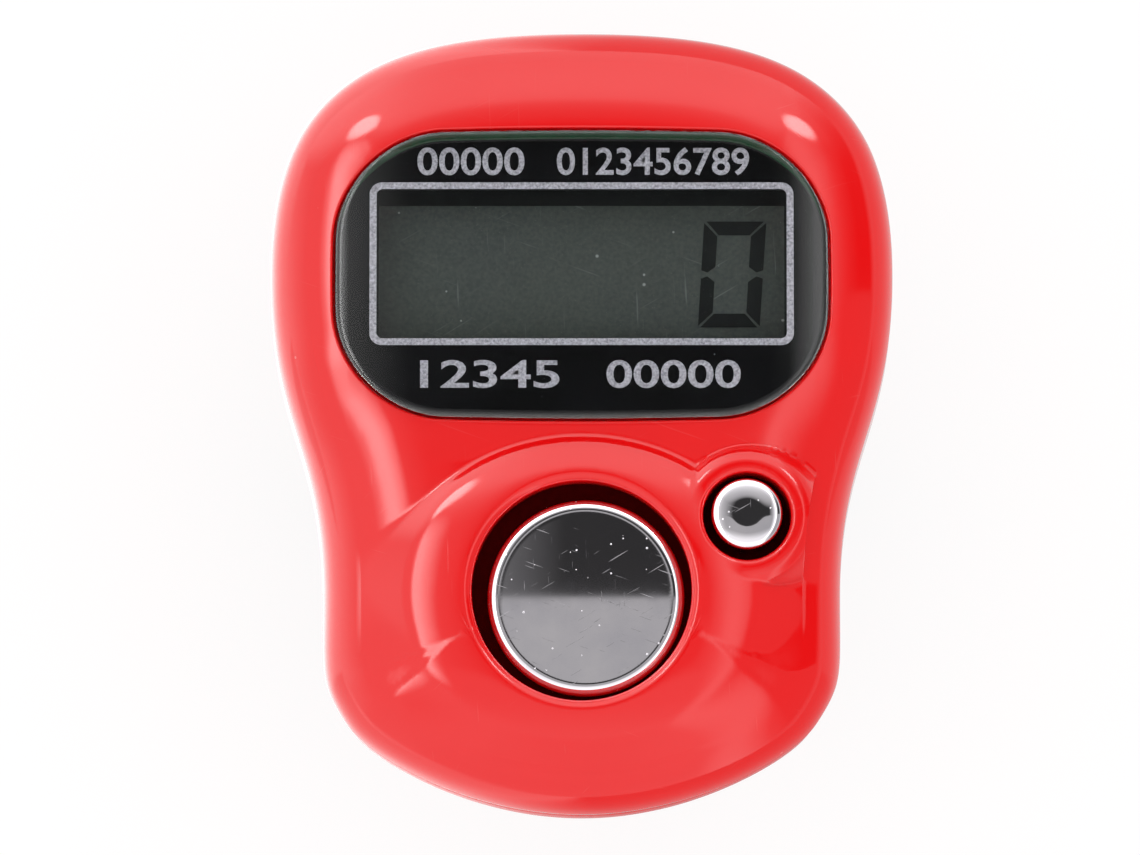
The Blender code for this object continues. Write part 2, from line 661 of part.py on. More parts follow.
def back_cover():
    """The red back half: cell well, screw bosses, and two bars for the band."""
    steps = 4
    rings = []
    for i in range(steps + 1):
        angle = (pi / 2) * i / steps
        rings.append(outline_ring(BACK_ROUND * (1.0 - sin(angle)),
                                  BACK_Z + BACK_ROUND_HEIGHT * (1.0 - cos(angle))))
    rings.append(outline_ring(0.0, PARTING_Z))
    cover = loft("back_cover", rings, red_plastic())
    inner = [outline_ring(SHELL_WALL + BACK_ROUND / 2, FLOOR_Z),
             outline_ring(SHELL_WALL, FLOOR_Z + BACK_ROUND_HEIGHT / 2),
             outline_ring(SHELL_WALL, PARTING_Z + BACK_FLOOR)]
    cut(cover, loft("back_cavity", inner, cutter=True))
    sunk = FLOOR_Z - BACK_FLOOR / 3
    well = CELL_RADIUS + CELL_WELL_GAP
    ring = [(well, FLOOR_Z + CELL_WELL_HEIGHT), (well + CELL_WELL_WALL, FLOOR_Z + CELL_WELL_HEIGHT),
            (well + CELL_WELL_WALL, sunk), (well, sunk)]
    join(cover, turned("cell_well", ring, 0.0, COUNT_Y, cutter=True))
    slot_half = CLIP_WIDTH / 2 + BAND_GAP
    cut(cover, box("clip_slot", (-slot_half, COUNT_Y, FLOOR_Z),
                   (slot_half, COUNT_Y + well + 2 * CELL_WELL_WALL, PARTING_Z), cutter=True))
    for i, (x, y) in enumerate(case_posts(), 1):
        join(cover, rod(f"case_boss_{i}", POST_RADIUS, sunk, PARTING_Z - SEAM_GAP, x, y, cutter=True))
        head_room = CASE_HEAD_SINK + CASE_HEAD_HEIGHT + SCREW_GAP
        cut(cover, rod(f"head_recess_{i}", CASE_HEAD_RADIUS + SCREW_GAP, BACK_Z - BACK_FLOOR,
                       BACK_Z + head_room, x, y, cutter=True))
        cut(cover, rod(f"screw_way_{i}", CASE_SCREW_RADIUS + SCREW_GAP, BACK_Z - BACK_FLOOR,
                       PARTING_Z + BACK_FLOOR, x, y, cutter=True, steps=12))
    bar_z = bar_height()
    lug_y = BAND_WIDTH / 2 + BAND_SIDE_GAP
    for side, word in ((1, "right"), (-1, "left")):
        for end, end_word in ((1, "upper"), (-1, "lower")):
            ys = sorted((BAND_Y + end * lug_y, BAND_Y + end * (lug_y + LUG_THICKNESS)))
            lug = box(f"lug_{word}_{end_word}",
                      (side * BAR_X - LUG_WIDTH / 2, ys[0], bar_z - BAR_RADIUS - BAND_GAP),
                      (side * BAR_X + LUG_WIDTH / 2, ys[1], BACK_Z + BACK_FLOOR / 2), cutter=True)
            join(cover, lug)
        join(cover, cross_bar(f"bar_{word}", side * BAR_X, bar_z, 2 * lug_y + LUG_THICKNESS))
    smooth(cover)
    return cover


def cross_bar(name, x, z, length):
    """A round bar along Y."""
    bm = bmesh.new()
    bmesh.ops.create_cone(bm, cap_ends=True, segments=16, radius1=BAR_RADIUS, radius2=BAR_RADIUS,
                          depth=length)
    bmesh.ops.rotate(bm, cent=(0.0, 0.0, 0.0), matrix=Matrix.Rotation(pi / 2, 3, 'X'), verts=bm.verts)
    bmesh.ops.translate(bm, vec=(x, BAND_Y, z), verts=bm.verts)
    return add_mesh(name, bm, None, cutter=True)


def bar_height():
    """Height of the bars' axes, which leave the band room behind the pod."""
    return BACK_Z - 2 * BAND_GAP - BAND_THICKNESS - BAR_RADIUS


def display_window():
    """The clear window, crowned on its outer face."""
    edge = WINDOW_Z + WINDOW_EDGE
    rings = [window_ring(0.0, WINDOW_Z), window_ring(0.0, edge - WINDOW_CHAMFER),
             window_ring(WINDOW_CHAMFER, edge)]
    reach = WINDOW_CORNER * WINDOW_CROWN_REACH
    for share in (0.25, 0.5, 0.75, 1.0):
        rings.append(window_ring(WINDOW_CHAMFER + (reach - WINDOW_CHAMFER) * share,
                                 edge + WINDOW_CROWN * sin(share * pi / 2)))
    window = loft("display_window", rings, clear_acrylic())
    smooth(window)


def view_box(name, margin, low, high):
    """A cutter over the display's visible area."""
    return box(name, (-VIEW_WIDTH / 2 - margin, VIEW_Y - VIEW_HEIGHT / 2 - margin, low),
               (VIEW_WIDTH / 2 + margin, VIEW_Y + VIEW_HEIGHT / 2 + margin, high), cutter=True)


def window_print():
    """The black printed film behind the window, open over the display."""
    film = plate("window_print", window_outline(FIT_GAP), PRINT_Z, PRINT_Z + PRINT_THICKNESS,
                 black_print())
    cut(film, view_box("print_view", PRINT_VIEW_MARGIN, LEDGE_Z, FACE_Z))


def window_tape():
    """The adhesive ring on the window's ledge."""
    tape = plate("window_tape", window_outline(FIT_GAP), TAPE_Z, TAPE_Z + TAPE_THICKNESS,
                 adhesive_tape())
    cut(tape, plate("tape_opening", window_outline(LEDGE_WIDTH), COLLAR_Z, FACE_Z, cutter=True))


def display_glass_stack():
    """Two glass plates with a polariser outside each; the front plate has the contact ledge."""
    half = GLASS_WIDTH / 2
    box("lcd_front_glass", (-half, FRONT_GLASS_BOTTOM_Y, FRONT_GLASS_Z),
        (half, GLASS_TOP_Y, FRONT_GLASS_Z + GLASS_THICKNESS), display_glass())
    box("lcd_rear_glass", (-half, REAR_GLASS_BOTTOM_Y, REAR_GLASS_Z),
        (half, GLASS_TOP_Y, REAR_GLASS_Z + GLASS_THICKNESS), display_glass())
    edge = POLARISER_EDGE
    box("lcd_front_polariser", (-half + edge, REAR_GLASS_BOTTOM_Y + edge, FRONT_POLARISER_Z),
        (half - edge, GLASS_TOP_Y - edge, FRONT_POLARISER_Z + POLARISER_THICKNESS), polariser_film())
    box("lcd_rear_polariser", (-half + edge, REAR_GLASS_BOTTOM_Y + edge, REAR_POLARISER_Z),
        (half - edge, GLASS_TOP_Y - edge, REAR_POLARISER_Z + POLARISER_THICKNESS), polariser_film())


def lcd_frame():
    """The frame that stands on the board round the glass, with a lip over its edge."""
    half = FRAME_WIDTH / 2
    low_y = FRONT_GLASS_BOTTOM_Y - WINDOW_GAP - FRAME_WALL
    high_y = GLASS_TOP_Y + WINDOW_GAP + FRAME_WALL
    middle = (low_y + high_y) / 2
    ring = [(x, y + middle) for x, y in
            rounded_rectangle(half, (high_y - low_y) / 2, FRAME_CORNER)]
    frame = plate("lcd_frame", ring, BOARD_TOP_Z + FIT_GAP, FRAME_TOP_Z, black_plastic())
    room = half - FRAME_WALL
    cut(frame, box("glass_room", (-room, low_y + FRAME_WALL, BOARD_Z),
                   (room, high_y - FRAME_WALL, FRAME_LIP_Z), cutter=True))
    cut(frame, view_box("frame_view", FRAME_LIP_REACH, BOARD_Z, FACE_Z))


def zebra_strip():
    """Conductive rubber from the board to the front glass's contact ledge."""
    low = (-ZEBRA_LENGTH / 2, ZEBRA_Y - ZEBRA_WIDTH / 2, BOARD_TOP_Z + FIT_GAP)
    high = (ZEBRA_LENGTH / 2, ZEBRA_Y + ZEBRA_WIDTH / 2, FRONT_GLASS_Z - FIT_GAP)
    box("zebra_strip", low, high, carbon_rubber())


def circuit_board():
    """The board, notched round the case posts."""
    board = plate("circuit_board", outline(SHELL_WALL + BOARD_CLEARANCE), BOARD_Z, BOARD_TOP_Z,
                  board_laminate())
    low = BOARD_Z - BOARD_THICKNESS
    high = BOARD_TOP_Z + BOARD_THICKNESS
    for i, (x, y) in enumerate(case_posts(), 1):
        cut(board, rod(f"board_notch_{i}", POST_RADIUS + BOARD_CLEARANCE, low, high, x, y, cutter=True))
    for i, (x, y) in enumerate(board_posts(), 1):
        cut(board, rod(f"board_hole_{i}", BOARD_SCREW_RADIUS + SCREW_GAP, low, high, x, y,
                       cutter=True, steps=12))


def board_chips():
    """The pieces soldered under the board."""
    top = BOARD_Z - FIT_GAP
    blob = [(0.0, top)]
    blob += [(BLOB_RADIUS * out, top - BLOB_HEIGHT * down) for out, down in BLOB_CROWN]
    smooth(turned("controller_blob", blob, 0.0, BLOB_Y, black_plastic(), steps=24))
    chip_x = BLOB_RADIUS + CHIP_SPACING
    across, along, tall = CAPACITOR_SIZE
    box("timing_capacitor", (chip_x, BLOB_Y + CHIP_SPACING / 2, top - tall),
        (chip_x + across, BLOB_Y + CHIP_SPACING / 2 + along, top), ceramic_chip())
    across, along, tall = RESISTOR_SIZE
    box("board_resistor", (chip_x, BLOB_Y - CHIP_SPACING / 2 - along, top - tall),
        (chip_x + across, BLOB_Y - CHIP_SPACING / 2, top), black_plastic())


def coin_cell():
    """The cell, its smaller negative face towards the board."""
    shoulder = CELL_TOP_Z - CELL_STEP
    profile = [(0.0, CELL_TOP_Z), (CELL_RADIUS * CELL_FACE, CELL_TOP_Z),
               (CELL_RADIUS * CELL_SHOULDER, shoulder), (CELL_RADIUS * CELL_EDGE, shoulder),
               (CELL_RADIUS, shoulder - CELL_STEP), (CELL_RADIUS, CELL_Z + CELL_STEP),
               (CELL_RADIUS * CELL_EDGE, CELL_Z), (0.0, CELL_Z)]
    smooth(turned("coin_cell", profile, 0.0, COUNT_Y, bright_steel()))


def strip(name, path, across, thickness, mat):
    """A bent strip: a path of points swept by a vector and given a thickness."""
    bm = bmesh.new()
    half = Vector(across) / 2
    verts = [bm.verts.new(Vector(point) - half) for point in path]
    edges = [bm.edges.new(pair) for pair in zip(verts, verts[1:])]
    swept = bmesh.ops.extrude_edge_only(bm, edges=edges)
    moved = [item for item in swept["geom"] if isinstance(item, bmesh.types.BMVert)]
    bmesh.ops.translate(bm, vec=Vector(across), verts=moved)
    obj = add_mesh(name, bm, mat)
    wall = obj.modifiers.new("thickness", 'SOLIDIFY')
    wall.thickness = thickness
    wall.offset = 0.0
    wall.use_even_offset = True
    return obj


def cell_contacts():
    """The positive clip beside the cell and the negative leaf between cell and board."""
    side = COUNT_Y + CELL_RADIUS + FIT_GAP + CLIP_THICKNESS / 2
    under = BOARD_Z - FIT_GAP - CLIP_THICKNESS / 2
    path = [(0.0, side, CELL_Z + CELL_STEP), (0.0, side, under), (0.0, side + CLIP_FOOT, under)]
    strip("cell_clip", path, (CLIP_WIDTH, 0.0, 0.0), CLIP_THICKNESS, bright_steel())
    high = BOARD_Z - FIT_GAP - SPRING_THICKNESS / 2
    low = CELL_TOP_Z + FIT_GAP + SPRING_THICKNESS / 2
    path = []
    for i in range(9):
        share = i / 4 - 1.0
        path.append((SPRING_HALF_LENGTH * share, COUNT_Y, low + (high - low) * share * share))
    strip("cell_spring", path, (0.0, SPRING_WIDTH, 0.0), SPRING_THICKNESS, bright_steel())


def count_button():
    """The chromed cap, hollow from below, with its flange and centre stem."""
    top = MOUND_Z - COUNT_SINK
    radius = COUNT_HOLE_RADIUS - COUNT_GAP
    flange_top = MOUND_CEILING_Z - FLANGE_GAP
    flange_low = flange_top - FLANGE_THICKNESS
    stem_low = DOME_TOP_Z + FIT_GAP
    hollow = radius - COUNT_SIDE_WALL
    profile = [(0.0, top)]
    for i in range(5):
        angle = (pi / 2) * i / 4
        profile.append((radius - COUNT_EDGE_ROUND * (1.0 - sin(angle)),
                        top - COUNT_EDGE_ROUND * (1.0 - cos(angle))))
    profile += [(radius, flange_top), (COUNT_FLANGE_RADIUS, flange_top),
                (COUNT_FLANGE_RADIUS, flange_low), (hollow, flange_low),
                (hollow, top - COUNT_TOP_WALL), (COUNT_STEM_RADIUS, top - COUNT_TOP_WALL),
                (COUNT_STEM_RADIUS, stem_low), (0.0, stem_low)]
    smooth(turned("count_button", profile, COUNT_SHIFT_X, COUNT_Y + COUNT_SHIFT_Y, chrome_plate()))


def reset_button():
    """The small chromed cap with its domed top."""
    radius = RESET_HOLE_RADIUS - RESET_GAP
    top = RING_Z + RESET_PROUD
    flange_top = CEILING_Z - FLANGE_GAP
    flange_low = flange_top - FLANGE_THICKNESS
    stem_low = DOME_TOP_Z + FIT_GAP
    profile = []
    for i in range(6):
        angle = (pi / 2) * i / 5
        profile.append((radius * sin(angle), top - RESET_DOME * (1.0 - cos(angle))))
    profile += [(radius, flange_top), (RESET_FLANGE_RADIUS, flange_top),
                (RESET_FLANGE_RADIUS, flange_low), (RESET_STEM_RADIUS, flange_low),
                (RESET_STEM_RADIUS, stem_low), (0.0, stem_low)]
    smooth(turned("reset_button", profile, RESET_X, RESET_Y + RESET_SHIFT_Y, chrome_plate(),
                  steps=BORE_STEPS))


def rubber_dome(name, radius, x, y):
    """A silicone dome, open below, that stands on the board under a button's stem."""
    low = BOARD_TOP_Z + FIT_GAP
    top = DOME_TOP_Z
    shoulder = radius * DOME_SHOULDER
    profile = [(0.0, top), (shoulder, top), (radius - DOME_FOOT, low + DOME_FOOT),
               (radius, low + DOME_FOOT), (radius, low), (radius - DOME_FOOT - DOME_WALL, low),
               (shoulder - DOME_WALL / 2, top - DOME_WALL), (0.0, top - DOME_WALL)]
    smooth(turned(name, profile, x, y, grey_silicone(), steps=24))


def contact_pill(name, radius, travel, x, y):
    """The carbon pill inside a dome, which meets the board at full travel."""
    low = BOARD_TOP_Z + travel + PRESS_CLEARANCE
    high = DOME_TOP_Z - DOME_WALL - FIT_GAP
    rod(name, radius, low, high, x, y, carbon_rubber(), steps=16)


def screw_mesh(name, radius, length, head_radius, head_height):
    """A screw that points up, with a cross recess in its head; its head's seat is at z = 0."""
    profile = [(0.0, length), (radius * SCREW_POINT, length), (radius, length - radius), (radius, 0.0),
               (head_radius, 0.0), (head_radius, -head_height * HEAD_CHAMFER_FOOT),
               (head_radius * HEAD_CHAMFER_TOP, -head_height), (0.0, -head_height)]
    master = turned(name, profile, 0.0, 0.0, bright_steel(), steps=14)
    reach = head_radius * RECESS_REACH
    half = RECESS_WIDTH / 2
    for i, (across, along) in enumerate(((reach, half), (half, reach)), 1):
        cut(master, box(f"{name}_recess_{i}", (-across, -along, -head_height * 2),
                        (across, along, -head_height + RECESS_DEPTH), cutter=True))
    bpy.context.view_layer.update()
    evaluated = master.evaluated_get(bpy.context.evaluated_depsgraph_get())
    mesh = bpy.data.meshes.new_from_object(evaluated)
    mesh.name = name
    for i in (1, 2):
        bpy.data.objects.remove(bpy.data.objects[f"{name}_recess_{i}"], do_unlink=True)
    bpy.data.objects.remove(master, do_unlink=True)
    return mesh


def screws():
    """Four case screws and three board screws."""
    mesh = screw_mesh("case_screw", CASE_SCREW_RADIUS, CASE_SCREW_LENGTH, CASE_HEAD_RADIUS,
                      CASE_HEAD_HEIGHT)
    for i, (x, y) in enumerate(case_posts(), 1):
        screw = add_object(f"case_screw_{i}", mesh, None)
        screw.location = (x, y, BACK_Z + CASE_HEAD_SINK + CASE_HEAD_HEIGHT)
    mesh = screw_mesh("board_screw", BOARD_SCREW_RADIUS, BOARD_SCREW_LENGTH, BOARD_HEAD_RADIUS,
                      BOARD_HEAD_HEIGHT)
    for i, (x, y) in enumerate(board_posts(), 1):
        screw = add_object(f"board_screw_{i}", mesh, None)
        screw.location = (x, y, BOARD_Z - FIT_GAP)


def side_curve(share):
    """Centre line of the band's right side, from the bar (0) to the flat foot (1), and its
    inward normal."""
    reach = BAR_RADIUS + BAND_GAP + BAND_THICKNESS / 2
    p0 = (BAR_X + reach, bar_height())
    p1 = (p0[0], p0[1] - BAND_SIDE_HANDLE)
    p3 = (BAND_FLAT / 2, BAND_THICKNESS / 2)
    p2 = (p3[0] + BAND_FOOT_HANDLE, p3[1])
    return curve_place(p0, p1, p2, p3, share)


def ease(share):
    """A smooth step from 0 to 1."""
    share = min(max(share, 0.0), 1.0)
    return share * share * (3.0 - 2.0 * share)


def layer_pitch():
    """Distance between the centre lines of the band's two layers where they overlap."""
    return BAND_THICKNESS + BAND_GAP


def band_path():
    """Centre line of the band, from its inner end on the right, under the finger, round both
    bars and down to the tail on the right."""
    path = []
    steps = 14
    for i in range(steps + 1):
        share = TAIL_START + (1.0 - TAIL_START) * i / steps
        x, z, nx, nz = side_curve(share)
        shift = layer_pitch() * (1.0 - ease((share - TAIL_END) / (1.0 - TAIL_END)))
        path.append((x + nx * shift, z + nz * shift))
    for i in range(steps + 1):
        x, z = side_curve(1.0 - i / steps)[:2]
        path.append((-x, z))
    reach = BAR_RADIUS + BAND_GAP + BAND_THICKNESS / 2
    turn = 6
    for i in range(1, turn + 1):
        angle = pi - (pi / 2) * i / turn
        path.append((-BAR_X + reach * cos(angle), bar_height() + reach * sin(angle)))
    for i in range(turn + 1):
        angle = pi / 2 - (pi / 2) * i / turn
        path.append((BAR_X + reach * cos(angle), bar_height() + reach * sin(angle)))
    tail_steps = 9
    for i in range(1, tail_steps + 1):
        path.append(side_curve(TAIL_END * i / tail_steps)[:2])
    return [(x, BAND_Y, z) for x, z in path]


def band_normal_frame(share):
    """Where a hole crosses the band's outer layer, and the turn that lays an upright piece
    along the outward normal there."""
    x, z, nx, nz = side_curve(share)
    turn = Matrix.Rotation(atan2(-nx, -nz), 4, 'Y')
    return Vector((x, BAND_Y, z)), turn


def band_hole(name, share, low, high):
    """A cutter for one hole, along the band's normal."""
    place, turn = band_normal_frame(share)
    cutter = rod(name, HOLE_RADIUS, low, high, 0.0, 0.0, cutter=True, steps=16)
    cutter.data.transform(Matrix.Translation(place) @ turn)
    return cutter


def finger_band():
    """The silicone strap, with its tail lying over its inner end."""
    band = strip("finger_band", band_path(), (0.0, BAND_WIDTH, 0.0), BAND_THICKNESS, black_silicone())
    half = BAND_THICKNESS / 2
    through = layer_pitch() + BAND_THICKNESS
    cut(band, band_hole("stud_hole", STUD_AT, -through, BAND_THICKNESS))
    for i, share in enumerate((STUD_AT - HOLE_SPACING, STUD_AT + HOLE_SPACING), 1):
        cut(band, band_hole(f"spare_hole_{i}", share, -half - BAND_GAP / 2, BAND_THICKNESS))
    smooth(band)


def band_stud():
    """The stud through both layers, with a flat inner head and a rounded outer head."""
    place, turn = band_normal_frame(STUD_AT)
    outer = BAND_THICKNESS / 2 + STUD_GAP
    inner = -layer_pitch() - BAND_THICKNESS / 2 - STUD_GAP
    shaft = HOLE_RADIUS - STUD_GAP
    profile = [(STUD_HEAD_RADIUS * out, outer + STUD_HEAD_HEIGHT * up) for out, up in STUD_CROWN]
    out, down = STUD_INNER_EDGE
    profile += [(shaft, outer), (shaft, inner), (STUD_HEAD_RADIUS, inner),
                (STUD_HEAD_RADIUS * out, inner - STUD_HEAD_HEIGHT * down),
                (0.0, inner - STUD_HEAD_HEIGHT)]
    stud = turned("band_stud", profile, 0.0, 0.0, bright_steel(), steps=SMALL_STEPS)
    stud.matrix_world = Matrix.Translation(place) @ turn
    smooth(stud)


def build():
    clear_scene()
    front_shell()
    back_cover()
    display_window()
    window_print()
    window_tape()
    display_glass_stack()
    lcd_frame()
    zebra_strip()
    circuit_board()
    board_chips()
    coin_cell()
    cell_contacts()
    count_button()
    reset_button()
    rubber_dome("count_dome", COUNT_DOME_RADIUS, 0.0, COUNT_Y)
    rubber_dome("reset_dome", RESET_DOME_RADIUS, RESET_X, RESET_Y)
    contact_pill("count_contact", PILL_RADIUS, COUNT_TRAVEL, 0.0, COUNT_Y)
    contact_pill("reset_contact", RESET_PILL_RADIUS, RESET_TRAVEL, RESET_X, RESET_Y)
    screws()
    finger_band()
    band_stud()


build()
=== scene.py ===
"""The looks of the finger counter: a glossy red pod with a black printed window, two chromed
buttons and a black silicone strap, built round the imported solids. Lengths are in metres."""

from math import atan2, cos, pi, radians, sin, tan

import bmesh
import bpy
import numpy as np
from mathutils import Matrix, Vector


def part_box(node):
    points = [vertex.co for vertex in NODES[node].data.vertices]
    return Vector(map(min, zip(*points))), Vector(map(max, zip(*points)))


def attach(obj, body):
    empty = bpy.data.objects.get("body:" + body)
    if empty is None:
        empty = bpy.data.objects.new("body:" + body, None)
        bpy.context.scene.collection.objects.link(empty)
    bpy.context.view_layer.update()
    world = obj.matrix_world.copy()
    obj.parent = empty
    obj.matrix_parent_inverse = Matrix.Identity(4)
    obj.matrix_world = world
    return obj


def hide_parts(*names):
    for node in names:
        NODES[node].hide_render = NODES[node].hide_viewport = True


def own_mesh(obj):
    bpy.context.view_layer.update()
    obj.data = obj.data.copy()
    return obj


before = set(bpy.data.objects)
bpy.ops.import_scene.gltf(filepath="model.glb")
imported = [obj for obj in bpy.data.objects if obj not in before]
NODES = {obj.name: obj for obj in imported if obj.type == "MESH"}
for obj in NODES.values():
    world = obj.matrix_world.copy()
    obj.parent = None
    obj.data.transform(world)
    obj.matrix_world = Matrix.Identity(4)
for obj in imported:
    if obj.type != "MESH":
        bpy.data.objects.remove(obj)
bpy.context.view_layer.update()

# Camera, from the picture's own frame
IMAGE_WIDTH_PX = 1140
MIDDLE_X_PX = 570
AXIS_X_PX = 581.5
PX_PER_METRE = 19700.0
CAMERA_DISTANCE = 0.430
CAMERA_TILT = radians(6.5)
SENSOR_WIDTH = 0.036
AIM_Z = 0.0245
AIM_Y = -0.0001

# Pod outline
SHELL_LOW, SHELL_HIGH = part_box("front_shell")
COVER_LOW, COVER_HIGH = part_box("back_cover")
HEAD_HALF = SHELL_HIGH.x
TOP_Y = SHELL_HIGH.y
BOTTOM_Y = SHELL_LOW.y
HEAD_Y = 0.00750
WAIST_HALF = 0.01315
WAIST_Y = -0.00895
CHIN_HALF = 0.01185
CHIN_Y = -0.01550
CHIN_ANGLE = radians(58.0)
AROUND = 600
CURVE_SAMPLES = 60
FAIRING = 10

# Pod section
PARTING_Z = COVER_HIGH.z
SEAM_GAP = 0.00010
SEAM_ROUND = 0.00014
WALL = 0.0015
WALL_DRAFT = 0.00010
FILL_Z = 0.0269
FLANK_INSET = 0.0020
SIDE_Z = 0.02972
HEAD_Z = 0.02995
FOOT_Z = 0.03022
HEAD_START_Y = -0.0020
HEAD_FULL_Y = 0.0040
FOOT_START_Y = -0.0080
FOOT_FULL_Y = -0.0185
TOP_LEAN = 0.00012
FOOT_TUCK = 0.00034
BACK_Z = 0.01735
BACK_FLOOR_Z = 0.01875
BACK_ROUND = 0.0022
BACK_ROUND_HEIGHT = 0.0026
RECESS_RADIUS = 0.0014
RECESS_DEPTH = 0.0011
SCREW_HOLE_RADIUS = 0.0008

# Window
WINDOW_LOW, WINDOW_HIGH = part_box("display_window")
WINDOW_Y = (WINDOW_LOW.y + WINDOW_HIGH.y) / 2
WINDOW_HALF_X = WINDOW_HIGH.x
WINDOW_HALF_Y = (WINDOW_HIGH.y - WINDOW_LOW.y) / 2
WINDOW_CORNER = 0.0052
WINDOW_BOW = 0.0003
WINDOW_GAP = 0.00010
WINDOW_LEVEL_X = 0.0083
WINDOW_CROWN = 0.00042
WINDOW_EDGE_ROUND = 0.00022
WINDOW_LIP = 0.00012
LEDGE_Z = 0.0279
LEDGE_WIDTH = 0.0010

# Count button and its mound
COUNT_X, COUNT_Y = 0.0, -0.00895
COUNT_HOLE = 0.0055
CAP_LOW, CAP_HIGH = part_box("count_button")
CAP_X = (CAP_LOW.x + CAP_HIGH.x) / 2
CAP_Y = (CAP_LOW.y + CAP_HIGH.y) / 2
CAP_RADIUS = 0.00497
CAP_EDGE = 0.00055
CAP_FLANGE = (CAP_HIGH.x - CAP_LOW.x) / 2
MOUND_Z = SHELL_HIGH.z - 0.0005
MOUND_HALF_X = 0.0090
MOUND_HALF_Y = 0.0076
MOUND_FOOT_Z = 0.02995
MOUND_SINK = 0.00025
VALLEY = 0.00012
LIP_ROUND = 0.00045
SMOOTHED_WIDTH = 0.0010
SMOOTHINGS = 6
POCKET_Z = 0.02897
POCKET_GAP = 0.0001

# Reset button and its ring
RESET_LOW, RESET_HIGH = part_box("reset_button")
RESET_X = (RESET_LOW.x + RESET_HIGH.x) / 2
RESET_CAP_Y = (RESET_LOW.y + RESET_HIGH.y) / 2
RESET_Y = RESET_CAP_Y - 0.0001
RESET_HOLE = 0.0022
RESET_RADIUS = 0.00185
RESET_FLANGE = (RESET_HIGH.x - RESET_LOW.x) / 2
RING_RISE = 0.00045
RING_TOP_Z = 0.03030
RING_CREST = 0.00275
RING_FOOT = 0.00345
RING_LIP = 0.00025
RESET_POCKET_Z = 0.02807
RESET_LEAN = 0.006
RESET_EDGE = 0.00042
RESET_DOME = 0.00006
RESET_LEVEL_SHARE = 0.45


def smoothstep(value):
    value = np.clip(value, 0.0, 1.0)
    return value * value * (3.0 - 2.0 * value)


def blend_max(a, b, width):
    """The larger of two heights, with a round of the given depth where they meet."""
    return np.maximum(a, b) + np.maximum(width - np.abs(a - b), 0.0) ** 2 / (4.0 * width)


def cubic(p0, p1, p2, p3, t):
    s = 1.0 - t
    return [s**3 * a + 3 * s * s * t * b + 3 * s * t * t * c + t**3 * d
            for a, b, c, d in zip(p0, p1, p2, p3)]


def even_points(points, count):
    """Evenly spaced places along a closed line of points."""
    closed = np.vstack([points, points[:1]])
    steps = np.linalg.norm(np.diff(closed, axis=0), axis=1)
    along = np.concatenate([[0.0], np.cumsum(steps)])
    wanted = np.arange(count) * along[-1] / count
    return np.stack([np.interp(wanted, along, closed[:, axis]) for axis in (0, 1)], axis=1)


def pod_outline():
    """Evenly spaced points round the pod, clockwise from the top, and the inward normal at each."""
    down = (-cos(CHIN_ANGLE), -sin(CHIN_ANGLE))
    top, head = (0.0, TOP_Y), (HEAD_HALF, HEAD_Y)
    waist, chin, foot = (WAIST_HALF, WAIST_Y), (CHIN_HALF, CHIN_Y), (0.0, BOTTOM_Y)
    above = (CHIN_HALF - down[0] * 0.0027, CHIN_Y - down[1] * 0.0027)
    below = (CHIN_HALF + down[0] * 0.0016, CHIN_Y + down[1] * 0.0016)
    curves = ((top, (0.0098, TOP_Y), (HEAD_HALF, HEAD_Y + 0.0106), head),
              (head, (HEAD_HALF, HEAD_Y - 0.0078), (WAIST_HALF, WAIST_Y + 0.0078), waist),
              (waist, (WAIST_HALF, WAIST_Y - 0.0045), above, chin),
              (chin, below, (0.0060, BOTTOM_Y), foot))
    half = [cubic(*curve, i / CURVE_SAMPLES) for curve in curves for i in range(CURVE_SAMPLES)]
    half.append(foot)
    points = even_points(np.array(half + [(-x, y) for x, y in reversed(half[1:-1])]), AROUND)
    for _ in range(FAIRING):
        points = (np.roll(points, 1, 0) + 2.0 * points + np.roll(points, -1, 0)) / 4.0
    ahead = np.roll(points, -1, 0) - np.roll(points, 1, 0)
    inward = np.stack([ahead[:, 1], -ahead[:, 0]], axis=1)
    return points, inward / np.linalg.norm(inward, axis=1)[:, None]


OUTLINE, INWARD = pod_outline()


def mix(low, high, share):
    return low + (high - low) * share


def rounded_window(inset=0.0):
    """Points of the window's outline, anticlockwise: round corners and slightly bowed sides."""
    half_x = WINDOW_HALF_X - WINDOW_BOW - inset
    half_y = WINDOW_HALF_Y - WINDOW_BOW - inset
    corner = WINDOW_CORNER - inset
    points = []
    for side_x, side_y, turn in ((1, 1, 0.0), (-1, 1, pi / 2), (-1, -1, pi), (1, -1, 3 * pi / 2)):
        for i in range(41):
            angle = turn + (pi / 2) * i / 40
            points.append((side_x * (half_x - corner) + corner * cos(angle),
                           side_y * (half_y - corner) + corner * sin(angle)))
    points = even_points(np.array(points), 720)
    x, y = points[:, 0], points[:, 1]
    bow_x = WINDOW_BOW * (1.0 - (y / half_y) ** 2) * (x / half_x)
    bow_y = WINDOW_BOW * (1.0 - (x / half_x) ** 2) * (y / half_y)
    return np.stack([x + bow_x, y + bow_y], axis=1)


def fall_table(*places):
    """How far a flank falls below its crest at each distance in, from its slope in degrees at a few."""
    inset = np.linspace(0.0, 0.009, 361)
    slope = np.tan(np.radians(np.interp(inset, *np.array(places).T)))
    steps = (slope[1:] + slope[:-1]) / 2 * (inset[1] - inset[0])
    return np.concatenate([np.cumsum(steps[::-1])[::-1], [0.0]])


